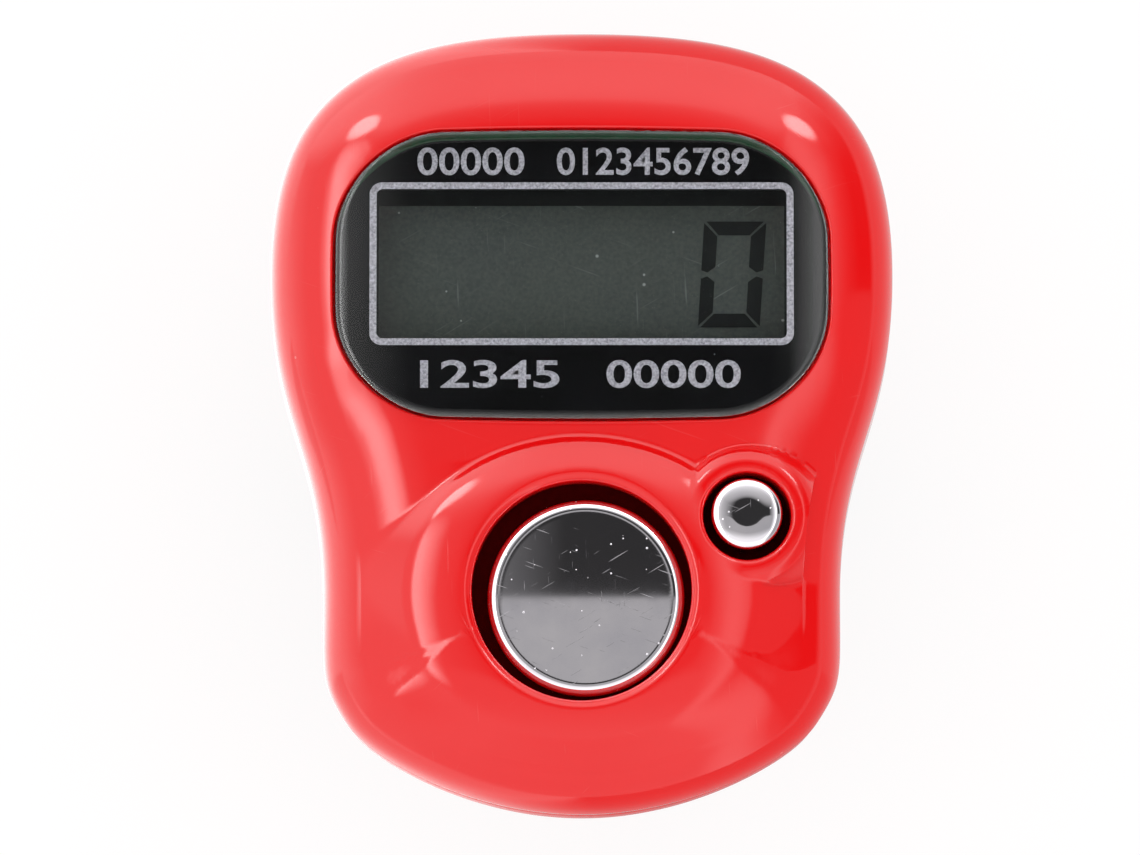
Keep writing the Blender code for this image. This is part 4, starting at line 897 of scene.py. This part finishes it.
def reset_cap(material, well_shade):
    """The small cap with its gently domed face and rolled edge."""
    top = RESET_HIGH.z
    edge, dome, level = RESET_EDGE, RESET_DOME, RESET_LEVEL_SHARE
    flange_top = RESET_POCKET_Z - POCKET_GAP
    rim = RESET_RADIUS - edge
    profile = []
    for i in range(13):
        share = i / 12
        profile.append((rim * share, top - dome * max(0.0, (share - level) / (1.0 - level)) ** 2))
    slope = 2.0 * dome / (rim * (1.0 - level))
    start = 90.0 - 57.3 * slope
    middle_z = top - dome - edge * sin(radians(start))
    profile += arc(rim - edge * cos(radians(start)), middle_z, edge, start, 0.0, 10)[1:]
    outer = profile[-1][0]
    profile += [(outer, flange_top), (RESET_FLANGE, flange_top), (RESET_FLANGE, flange_top - 0.0008),
                (0.0008, flange_top - 0.0008), (0.0008, RESET_LOW.z), (0.0, RESET_LOW.z)]
    cap = spun("reset_cap", profile, RESET_X, RESET_CAP_Y, 96, material, well_shade, smooth_angle=30.0)
    for vert in cap.data.vertices:
        if vert.co.z > RESET_POCKET_Z + 0.0003:
            vert.co.z -= RESET_LEAN * (RESET_RADIUS + vert.co.y - RESET_CAP_Y)
    return cap


def window_height(inset, angles):
    """The window's face: level, but falling away towards its left and right ends."""
    past = np.abs(window_ring(inset, angles)[:, 0]) - WINDOW_LEVEL_X
    out = np.clip(past / (WINDOW_HALF_X - WINDOW_LEVEL_X), 0.0, 1.0)
    return WINDOW_HIGH.z - WINDOW_CROWN * out**2.6


def clear_window(material):
    """The clear window: flat behind, its face crowned towards the sides."""
    angles = turns(360)
    bm = bmesh.new()
    base = start_loop(bm, lift(window_ring(0.0, angles), WINDOW_LOW.z))
    edge = WINDOW_EDGE_ROUND
    edges = next_loop(bm, base, lift(window_ring(0.0, angles), window_height(0.0, angles) - edge))
    for i in range(1, 7):
        turn = radians(80.0 * i / 6)
        inset = edge * (1.0 - cos(turn))
        edges = next_loop(bm, edges, lift(window_ring(inset, angles),
                                          window_height(inset, angles) - edge * (1.0 - sin(turn))))
    reach = WINDOW_CORNER * 0.9
    for i in range(1, 25):
        step = mix(inset, reach, i / 24)
        edges = next_loop(bm, edges, lift(window_ring(step, angles), window_height(step, angles)))
    cover(bm, edges)
    cover(bm, base, -1.0)
    return finish_mesh("clear_window", bm, material)


# Printed film and display
PRINT_LOW, PRINT_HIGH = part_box("window_print")
PANEL_LOW, PANEL_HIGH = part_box("lcd_front_polariser")
# The visible area stops 0.6 mm short of the silver line's top: the dark band left there is painted shade.
VIEW_X = 0.01015
VIEW_LOW_Y, VIEW_HIGH_Y = 0.0040, 0.0109
LINE_WIDTH = 0.00034
FRAME_LINE_X = 0.01028
FRAME_LINE_LOW_Y, FRAME_LINE_HIGH_Y = 0.00392, 0.01150
PRINT_RELIEF = 0.000015
PRINT_FACE = PRINT_HIGH.z + 0.000005
FIGURE_HEIGHT = 0.00142

# Figures printed in silver: name, text, left edge, base line and width
FIGURES = (("figures_low", "00000", -0.00828, 0.01220, 0.00540),
           ("figures_high", "0123456789", -0.00125, 0.01220, 0.00970),
           ("figures_count", "12345", -0.00812, 0.00140, 0.00700),
           ("figures_reset", "00000", 0.00125, 0.00140, 0.00675))


def rectangle(half_x, low_y, high_y, corner):
    """A loop of plan points: a rectangle with round corners."""
    points = []
    for x, y, turn in ((half_x, high_y, 0.0), (-half_x, high_y, 90.0), (-half_x, low_y, 180.0),
                       (half_x, low_y, 270.0)):
        middle_x = x - corner if x > 0 else x + corner
        middle_y = y - corner if y == high_y else y + corner
        for i in range(9):
            angle = radians(turn + 90.0 * i / 8)
            points.append((middle_x + corner * cos(angle), middle_y + corner * sin(angle)))
    return points


def plate_with_hole(name, outer, inner, low, high, material):
    """A flat plate between two outlines, closed all round."""
    bm = bmesh.new()
    levels = [[], []]
    for points in (outer, inner):
        bottom = start_loop(bm, lift(points, low))
        levels[0] += bottom
        levels[1] += next_loop(bm, bottom, lift(points, high))
    for edges in levels:
        cover(bm, edges, 0.0)
    return finish_mesh(name, bm, material)


def printed_mask(material):
    """The black film, open over the display."""
    outer = window_ring(0.00005, turns(180))
    inner = rectangle(FRAME_LINE_X, FRAME_LINE_LOW_Y, FRAME_LINE_HIGH_Y, 0.0002)
    return plate_with_hole("printed_mask", outer, inner, PRINT_LOW.z, PRINT_HIGH.z, material)


def silver_line(material):
    """The silver line round the display."""
    outer = rectangle(FRAME_LINE_X + LINE_WIDTH, FRAME_LINE_LOW_Y - LINE_WIDTH,
                      FRAME_LINE_HIGH_Y + LINE_WIDTH, 0.0006)
    inner = rectangle(FRAME_LINE_X, FRAME_LINE_LOW_Y, FRAME_LINE_HIGH_Y, 0.0003)
    return plate_with_hole("silver_line", outer, inner, PRINT_FACE, PRINT_FACE + PRINT_RELIEF, material)


def painted_edge_fringe(material):
    """A dark green ring all round the window's edge, laid on the printed film: a painted colour fringe of
    light, not a print.
    """
    outer, inner = (window_ring(inset, turns(180)) for inset in (0.00007, 0.00030))
    return plate_with_hole("painted_edge_fringe", outer, inner, PRINT_FACE, PRINT_FACE + PRINT_RELIEF, material)


def display_border_and_shade(material):
    """The dark border of the display round its visible area: partly the display's own border, partly painted
    shade, in a band widest along the top.
    """
    outer = rectangle(0.0112, 0.0031, 0.0118, 0.0003)
    inner = rectangle(VIEW_X, VIEW_LOW_Y, VIEW_HIGH_Y, 0.00005)
    low = PANEL_HIGH.z + 0.00001
    return plate_with_hole("display_border_and_shade", outer, inner, low, low + 0.00003, material)


def display_panel(material):
    """The display's face, a thin sheet with softened edges."""
    bm = bmesh.new()
    box(bm, PANEL_HIGH - PANEL_LOW, (PANEL_HIGH + PANEL_LOW) / 2)
    bevel(bm, list(bm.edges), 0.00004, 2)
    return finish_mesh("display_panel", bm, material)


# Digit
DIGIT_X, DIGIT_Y = 0.00588, 0.00470
DIGIT_WIDTH, DIGIT_HEIGHT = 0.00310, 0.00540
SEGMENT = 0.00070
SEGMENT_GAP = 0.00007
DIGIT_LEAN = tan(radians(3.5))


def digit_segments():
    """The six segments that show a nought, each a flat outline."""
    w, h, t, g = DIGIT_WIDTH, DIGIT_HEIGHT, SEGMENT, SEGMENT_GAP
    middle = h / 2
    left_top = [(0, h - g), (0, middle + 0.3 * t), (0.45 * t, middle + g * 1.4), (t, middle + 0.55 * t),
                (t, h - t - g)]
    top = [(g * 1.6, h), (w - g * 1.6, h), (w - t - g, h - t), (t + g, h - t)]
    shapes = [left_top, top]
    shapes.append([(w - x, y) for x, y in left_top])
    shapes += [[(x, h - y) for x, y in shape] for shape in shapes[:3]]
    return [[(DIGIT_X + x + y * DIGIT_LEAN, DIGIT_Y + y) for x, y in shape] for shape in shapes]


def display_digit(material):
    """The digit's segments, each a flat outline raised a little."""
    low = PANEL_HIGH.z + 0.00002
    bm = bmesh.new()
    for points in digit_segments():
        face = bm.faces.new([bm.verts.new((x, y, low)) for x, y in points])
        made = bmesh.ops.extrude_face_region(bm, geom=[face])["geom"]
        moved = [item for item in made if isinstance(item, bmesh.types.BMVert)]
        bmesh.ops.translate(bm, vec=(0.0, 0.0, 0.00003), verts=moved)
    return finish_mesh("display_digit", bm, material)


def figures(name, text, left_x, base_y, width, material):
    """A line of silver figures on the printed film."""
    curve = bpy.data.curves.new(name, 'FONT')
    curve.body = text
    curve.size = 0.00200
    curve.extrude = PRINT_RELIEF / 2
    curve.offset = 0.00003
    curve.resolution_u = 6
    temporary = bpy.data.objects.new(name, curve)
    bpy.context.scene.collection.objects.link(temporary)
    bpy.context.view_layer.update()
    evaluated = temporary.evaluated_get(bpy.context.evaluated_depsgraph_get())
    mesh = bpy.data.meshes.new_from_object(evaluated)
    bpy.data.objects.remove(temporary)
    bm = bmesh.new()
    bm.from_mesh(mesh)
    bpy.data.meshes.remove(mesh)
    xs = [vert.co.x for vert in bm.verts]
    ys = [vert.co.y for vert in bm.verts]
    scale = (width / (max(xs) - min(xs)), FIGURE_HEIGHT / (max(ys) - min(ys)), 1.0)
    bmesh.ops.translate(bm, vec=(-min(xs), -min(ys), 0.0), verts=bm.verts)
    bmesh.ops.scale(bm, vec=scale, verts=bm.verts)
    bmesh.ops.translate(bm, vec=(left_x, base_y, PRINT_FACE + PRINT_RELIEF / 2), verts=bm.verts)
    return finish_mesh(name, bm, material)


def side_curve(share):
    """Middle line of the strap's right side, from the bar (0) to the flat foot (1), and its
    inward normal."""
    out = BAR_X + BAR_RADIUS + BAND_GAP + BAND_THICKNESS / 2
    foot = BAND_THICKNESS / 2
    points = ((out, BAR_Z), (out, BAR_Z - BAND_SIDE_HANDLE), (BAND_FLAT / 2 + BAND_FOOT_HANDLE, foot),
              (BAND_FLAT / 2, foot))
    x, z = cubic(*points, share)
    before = cubic(*points, share - 0.001)
    after = cubic(*points, share + 0.001)
    ahead = Vector((after[0] - before[0], after[1] - before[1])).normalized()
    return x, z, ahead.y, -ahead.x


def band_path():
    """Middle line of the strap, from its inner end, under the finger, round both bars to its tail."""
    path = []
    pitch = BAND_THICKNESS + BAND_GAP
    steps = 60
    for i in range(steps + 1):
        share = TAIL_START + (1.0 - TAIL_START) * i / steps
        x, z, nx, nz = side_curve(share)
        shift = pitch * (1.0 - float(smoothstep((share - TAIL_END) / (1.0 - TAIL_END))))
        path.append((x + nx * shift, z + nz * shift))
    for i in range(1, steps + 1):
        x, z = side_curve(1.0 - i / steps)[:2]
        path.append((-x, z))
    reach = BAR_RADIUS + BAND_GAP + BAND_THICKNESS / 2
    for i in range(1, 13):
        angle = pi - (pi / 2) * i / 12
        path.append((-BAR_X + reach * cos(angle), BAR_Z + reach * sin(angle)))
    for i in range(1, 12):
        path.append((-BAR_X + 2 * BAR_X * i / 12, BAR_Z + reach))
    for i in range(13):
        angle = pi / 2 - (pi / 2) * i / 12
        path.append((BAR_X + reach * cos(angle), BAR_Z + reach * sin(angle)))
    for i in range(1, 37):
        path.append(side_curve(TAIL_END * i / 36)[:2])
    return path


def strap(material):
    """The silicone strap: a flat section with round edges, drawn along its path."""
    half_w, half_t, edge = BAND_WIDTH / 2, BAND_THICKNESS / 2, 0.00035
    section = rectangle(half_w, -half_t, half_t, edge)
    path = [Vector((x, z)) for x, z in band_path()]
    bm = bmesh.new()
    edges = None
    for i, point in enumerate(path):
        ahead = (path[min(i + 1, len(path) - 1)] - path[max(i - 1, 0)]).normalized()
        across = Vector((-ahead.y, ahead.x))
        end = min(i, len(path) - 1 - i)
        slim, narrow = ((0.72, 0.985), (0.93, 0.997), (1.0, 1.0))[min(end, 2)]
        ring = [(point.x + across.x * v * slim, BAND_Y + u * narrow, point.y + across.y * v * slim)
                for u, v in section]
        if edges is None:
            first = edges = start_loop(bm, ring)
        else:
            edges = next_loop(bm, edges, ring)
    bmesh.ops.contextual_create(bm, geom=first)
    bmesh.ops.contextual_create(bm, geom=edges)
    return finish_mesh("finger_strap", bm, material)


def across_band(share):
    """The turn and place that lay an upright piece along the strap's outward normal."""
    x, z, nx, nz = side_curve(share)
    return Matrix.Translation((x, BAND_Y, z)) @ Matrix.Rotation(atan2(-nx, -nz), 4, 'Y')


def carve(obj, cutters):
    """Cut shapes out of a piece for good."""
    for cutter in cutters:
        step = obj.modifiers.new("cut", 'BOOLEAN')
        step.operation = 'DIFFERENCE'
        step.solver = 'EXACT'
        step.object = cutter
    bpy.context.view_layer.update()
    evaluated = obj.evaluated_get(bpy.context.evaluated_depsgraph_get())
    mesh = bpy.data.meshes.new_from_object(evaluated)
    obj.modifiers.clear()
    obj.data = mesh
    mesh.shade_smooth()
    mesh.set_sharp_from_angle(angle=radians(35.0))
    for cutter in cutters:
        bpy.data.objects.remove(cutter)


def strap_holes():
    """Cutters for the two spare holes in the tail and the stud's hole through both layers."""
    cutters = []
    for share, low in ((STUD_AT - HOLE_SPACING, -0.00075), (STUD_AT + HOLE_SPACING, -0.00075),
                       (STUD_AT, -0.0030)):
        bm = bmesh.new()
        made = drum(bm, HOLE_RADIUS, 0.0015 - low, 40)
        bmesh.ops.translate(bm, vec=(0, 0, (0.0015 + low) / 2), verts=made)
        bmesh.ops.transform(bm, matrix=across_band(share), verts=made)
        cutters.append(finish_mesh(f"hole_{len(cutters)}", bm))
    return cutters


def stud(material):
    """The stud that closes the strap, with a low domed head outside and a flat one inside."""
    outer = BAND_THICKNESS / 2 + 0.0001
    inner = -1.5 * BAND_THICKNESS - BAND_GAP - 0.0001
    head, rise, shaft = 0.0013, 0.0004, HOLE_RADIUS - 0.0001
    profile = [(0.0, outer + rise), (0.0004, outer + rise * 0.98), (0.0008, outer + rise * 0.88),
               (0.0011, outer + rise * 0.66), (0.00124, outer + rise * 0.42), (head, outer + rise * 0.2),
               (head, outer), (shaft, outer), (shaft, inner), (head, inner), (head, inner - rise * 0.5),
               (head * 0.93, inner - rise * 0.85), (head * 0.7, inner - rise), (0.0, inner - rise)]
    piece = spun("strap_stud", profile, 0.0, 0.0, 64, material)
    piece.data.transform(across_band(STUD_AT))
    return piece


def case_screw(number, material):
    """A case screw with its cross recess, in its place in the back."""
    low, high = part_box(f"case_screw_{number}")
    x, y = (low.x + high.x) / 2, (low.y + high.y) / 2
    head, seat, radius = (high.x - low.x) / 2, low.z + 0.0006, 0.0007
    profile = [(0.0, high.z), (radius * 0.55, high.z), (radius, high.z - radius), (radius, seat),
               (head, seat), (head, low.z + 0.0002), (head * 0.94, low.z + 0.00007), (head * 0.8, low.z),
               (0.0, low.z)]
    screw = spun(f"case_screw_head_{number}", profile, x, y, 48, material)
    cutters = []
    for size_x, size_y in ((0.0016, 0.0003), (0.0003, 0.0016)):
        bm = bmesh.new()
        box(bm, (size_x, size_y, 0.0007), (x, y, low.z))
        cutters.append(finish_mesh(f"slot_{len(cutters)}", bm))
    carve(screw, cutters)
    return screw


def add_camera():
    """The camera above the pod, a little towards its bottom end."""
    data = bpy.data.cameras.new("camera")
    camera = bpy.data.objects.new("camera", data)
    bpy.context.scene.collection.objects.link(camera)
    bpy.context.scene.camera = camera
    data.sensor_width = SENSOR_WIDTH * 1000.0
    data.lens = PX_PER_METRE * CAMERA_DISTANCE * data.sensor_width / IMAGE_WIDTH_PX
    x = (MIDDLE_X_PX - AXIS_X_PX) / PX_PER_METRE
    aim = Vector((x, AIM_Y, AIM_Z))
    back = Vector((0.0, -sin(CAMERA_TILT), cos(CAMERA_TILT)))
    camera.location = aim + back * CAMERA_DISTANCE
    camera.rotation_mode = 'QUATERNION'
    camera.rotation_quaternion = Matrix.Rotation(CAMERA_TILT, 4, 'X').to_quaternion()
    data.clip_start = 0.01
    data.clip_end = 10.0


def soft_step(value, low, high):
    """0 below low and 1 above high, with a soft passage; the other way round if high is less."""
    return node(value.id_data, 'ShaderNodeMapRange', {"Value": value, "From Min": low, "From Max": high},
                interpolation_type='SMOOTHSTEP').outputs[0]


# Brightness of the surroundings that glossy surfaces mirror, against one part of the direction
LEFT_LIGHT = ((-1.0, 2.6), (-0.94, 2.0), (-0.80, 1.5), (-0.55, 1.5), (-0.42, 1.1), (-0.24, 0.65),
              (-0.10, 0.3), (0.0, 0.0))
LEFT_CORE = ((-0.72, 0.0), (-0.63, 3.0), (-0.56, 7.0), (-0.48, 4.5), (-0.40, 1.2), (-0.36, 0.0))
RIGHT_LIGHT = ((0.20, 0.0), (0.34, 1.1), (0.46, 2.2), (0.56, 1.5), (0.64, 0.7), (0.72, 0.3), (0.80, 0.1),
               (0.90, 0.0), (1.0, 0.0))
TOP_LIGHT = ((0.15, 0.0), (0.20, 0.38), (0.30, 0.68), (0.42, 1.2), (0.56, 2.2), (0.72, 2.4), (0.90, 2.2),
             (1.0, 1.9))
BOTTOM_LIGHT = ((-1.0, 1.2), (-0.70, 1.5), (-0.45, 1.3), (-0.30, 1.15), (-0.16, 1.1), (-0.06, 0.6),
                (0.04, 0.2), (0.08, 0.0))
LAMP_WAY = (0.50, 0.57, 0.65)
CARD_EDGE_Y = 0.0935
CARD_SOFT = 0.0012
CARD_LEVEL = 0.47
DARK_LEVEL = 0.035
LAMP_LEVEL = 9.0


def curve_value(value, points):
    """A value read off a line through points."""
    tree = value.id_data
    ramp = tree.nodes.new('ShaderNodeFloatCurve')
    curve = ramp.mapping.curves[0]
    ramp.mapping.use_clip = False
    ramp.mapping.extend = 'HORIZONTAL'
    low, high = points[0][0], points[-1][0]
    for i, (at, light) in enumerate(points):
        place = ((at - low) / (high - low), light / 10.0)
        if i in (0, len(points) - 1):
            curve.points[0 if i == 0 else -1].location = place
        else:
            curve.points.new(*place)
    for point in curve.points:
        point.handle_type = 'AUTO_CLAMPED'
    ramp.mapping.update()
    share = node(tree, 'ShaderNodeMapRange', {"Value": value, "From Min": low, "From Max": high})
    fill(ramp.inputs["Value"], share.outputs[0])
    return times(ramp.outputs[0], 10.0)


def add_world():
    """White surroundings, with what the glossy surfaces mirror: a dark ceiling with soft boxes."""
    world = bpy.data.worlds.new("studio")
    bpy.context.scene.world = world
    world.use_nodes = True
    tree = world.node_tree
    tree.nodes.clear()
    way = node(tree, 'ShaderNodeTexCoord').outputs["Generated"]
    x, y, z = node(tree, 'ShaderNodeSeparateXYZ', {0: way}).outputs
    fade = soft_step(x, 0.85, 0.35)
    lean = times(lifted(fade, 0.9, 0.1), lifted(soft_step(x, -0.1, -0.5), 0.35, 1.0))
    core = times(soft_step(y, -0.45, -0.20), soft_step(y, 0.55, 0.30))
    total = DARK_LEVEL
    for light in (curve_value(x, LEFT_LIGHT), curve_value(x, RIGHT_LIGHT),
                  times(curve_value(y, TOP_LIGHT), lean),
                  times(curve_value(y, BOTTOM_LIGHT), lifted(fade, 0.75, 0.25)),
                  times(soft_step(y, CARD_EDGE_Y + CARD_SOFT, CARD_EDGE_Y - CARD_SOFT), CARD_LEVEL),
                  times(curve_value(x, LEFT_CORE), core),
                  times(soft_step(z, 0.25, 0.02), lifted(soft_step(x, 0.2, -0.9), 1.6, 0.9))):
        total = most(total, light)
    for side in (-1.0, 1.0):
        toward = vector('DOT_PRODUCT', way, (side * LAMP_WAY[0], LAMP_WAY[1], LAMP_WAY[2]))["Value"]
        total = lifted(soft_step(toward, 0.988, 0.995), LAMP_LEVEL, total)
    rays = node(tree, 'ShaderNodeLightPath').outputs
    mirrored = most(rays["Is Glossy Ray"], rays["Is Transmission Ray"])
    strength = lifted(total, mirrored, math('SUBTRACT', 1.0, mirrored))
    shine = node(tree, 'ShaderNodeBackground', {"Color": (1.0, 1.0, 1.0, 1.0), "Strength": strength})
    fill(tree.nodes.new('ShaderNodeOutputWorld').inputs[0], shine.outputs[0])


def add_floor():
    """A white floor that keeps a faint shadow and is clear from below; in reflections it glows with painted
    light, brighter towards the left and dimmer far towards the pod's bottom end.
    """
    bm = bmesh.new()
    bmesh.ops.create_grid(bm, x_segments=1, y_segments=1, size=1.5)
    floor = finish_mesh("floor", bm)
    look = Finish("white_floor", (0.92, 0.92, 0.92), 0.9, Specular_IOR_Level=0.0)
    tree = look.tree
    rays = node(tree, 'ShaderNodeLightPath').outputs

    def glow(strength):
        return node(tree, 'ShaderNodeEmission', {"Color": (1.0, 1.0, 1.0, 1.0), "Strength": strength})

    def either(share, first, second):
        return node(tree, 'ShaderNodeMixShader', {0: share, 1: first.outputs[0], 2: second.outputs[0]})

    away = vector('MULTIPLY', look.place, (40.0, 40.0, 40.0))[0]
    x, y, z = node(tree, 'ShaderNodeSeparateXYZ', {0: away}).outputs
    # Painted light: what reflections see of the floor, brighter towards the left.
    bright = times(lifted(soft_step(x, 0.2, -0.9), 1.9, 0.8), lifted(soft_step(y, -0.95, -0.5), 0.3, 0.7))
    lit = either(times(rays["Is Camera Ray"], 0.75), tree.nodes["Principled BSDF"], glow(1.06))
    lit = either(rays["Is Glossy Ray"], lit, glow(bright))
    behind = node(tree, 'ShaderNodeNewGeometry').outputs["Backfacing"]
    whole = either(behind, lit, node(tree, 'ShaderNodeBsdfTransparent'))
    fill(tree.nodes["Material Output"].inputs[0], whole.outputs[0])
    floor.data.materials.append(look.done())


# Finishes of the inner solids: name, colour, roughness, scale of the grain, and the solids
INNER_FINISHES = (
    ("adhesive_tape", (0.70, 0.70, 0.66), 0.6, 2500.0, ("window_tape",)),
    ("display_glass_front", (0.22, 0.25, 0.22), 0.12, 600.0, ("lcd_front_glass",)),
    ("display_glass_rear", (0.22, 0.25, 0.22), 0.12, 600.0, ("lcd_rear_glass",)),
    ("rear_polariser", (0.20, 0.22, 0.20), 0.35, 900.0, ("lcd_rear_polariser",)),
    ("black_moulding", (0.014, 0.015, 0.015), 0.5, 2500.0, ("lcd_frame",)),
    ("conductive_rubber", (0.03, 0.03, 0.03), 0.7, 2500.0, ("zebra_strip", "count_contact", "reset_contact")),
    ("board_green", (0.05, 0.22, 0.09), 0.42, 1200.0, ("circuit_board",)),
    ("epoxy_black", (0.02, 0.02, 0.02), 0.35, 1500.0, ("controller_blob",)),
    ("ceramic_tan", (0.45, 0.33, 0.22), 0.5, 2500.0, ("timing_capacitor",)),
    ("chip_black", (0.03, 0.03, 0.03), 0.45, 2500.0, ("board_resistor",)),
    ("dome_silicone", (0.35, 0.35, 0.36), 0.6, 2500.0, ("count_dome", "reset_dome")),
)


def dress_inner_nodes():
    """Give every solid that still shows its own finish."""
    metal = steel("nickel_steel", (0.62, 0.61, 0.60), 0.28)
    finishes = {}
    for name, color, roughness, grain, nodes in INNER_FINISHES:
        finishes.update(dict.fromkeys(nodes, plain_finish(name, color, roughness, grain)))
    for name, obj in NODES.items():
        if not obj.hide_render:
            obj.data.materials.clear()
            obj.data.materials.append(finishes.get(name, metal))


def button_caps():
    """The two caps, chrome above their wells; below, their flanges and stems are dark red as painted shade in
    the wells.
    """
    plating = chrome()
    # Dark red below the wells: painted shade in the gap round each cap.
    well_shade = plain_finish("painted_well_shade", (0.040, 0.0012, 0.0014), 0.6, specular=0.0)
    caps = ((count_cap(plating, well_shade), "count_key", "count_button", POCKET_Z),
            (reset_cap(plating, well_shade), "reset_key", "reset_button", RESET_POCKET_Z))
    for cap, key, solid, skirt_z in caps:
        for face in cap.data.polygons:
            face.material_index = int(face.center.z < skirt_z)
        place(cap, key, "chrome_plate", solid)


def build():
    """Make every piece, and let it ride on its body."""
    grained = back_plastic()
    silver = print_silver()
    dark = display_dark()
    metal = steel("stud_steel", (0.68, 0.67, 0.66), 0.22)
    # Dark green for the painted colour fringe of light at the window's edge.
    green = plain_finish("painted_fringe_green", (0.003, 0.055, 0.018), 0.5, specular=0.0)
    band = strap(silicone())
    carve(band, strap_holes())
    pieces = [(front_casing(red_plastic()), "red_plastic", "front_shell"),
              (back_casing(grained), "red_plastic", "back_cover"),
              (strap_mounts(grained), "red_plastic"),
              (clear_window(clear_plastic()), "clear_acrylic", "display_window"),
              (printed_mask(print_black()), "black_print", "window_print"),
              (silver_line(silver), "black_print"),
              # Painted colour fringe at the window's edge, laid on the film.
              (painted_edge_fringe(green), "black_print"),
              (display_panel(display_grey()), "polariser_film", "lcd_front_polariser"),
              # A dark sheet round the visible area: the display's own border and painted shade.
              (display_border_and_shade(dark), "polariser_film"),
              (display_digit(dark), "black_print"),
              (band, "black_silicone", "finger_band"),
              (stud(metal), "bright_steel", "band_stud")]
    pieces += [(figures(*line, silver), "black_print") for line in FIGURES]
    pieces += [(case_screw(i, metal), "bright_steel", f"case_screw_{i}") for i in (1, 2, 3, 4)]
    for piece, slot, *solids in pieces:
        place(piece, "case", slot, *solids)
    button_caps()
    dress_inner_nodes()
    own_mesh(NODES["count_dome"])
    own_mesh(NODES["reset_dome"])


bpy.context.scene.view_settings.view_transform = 'Standard'
add_camera()
add_world()
add_floor()
build()
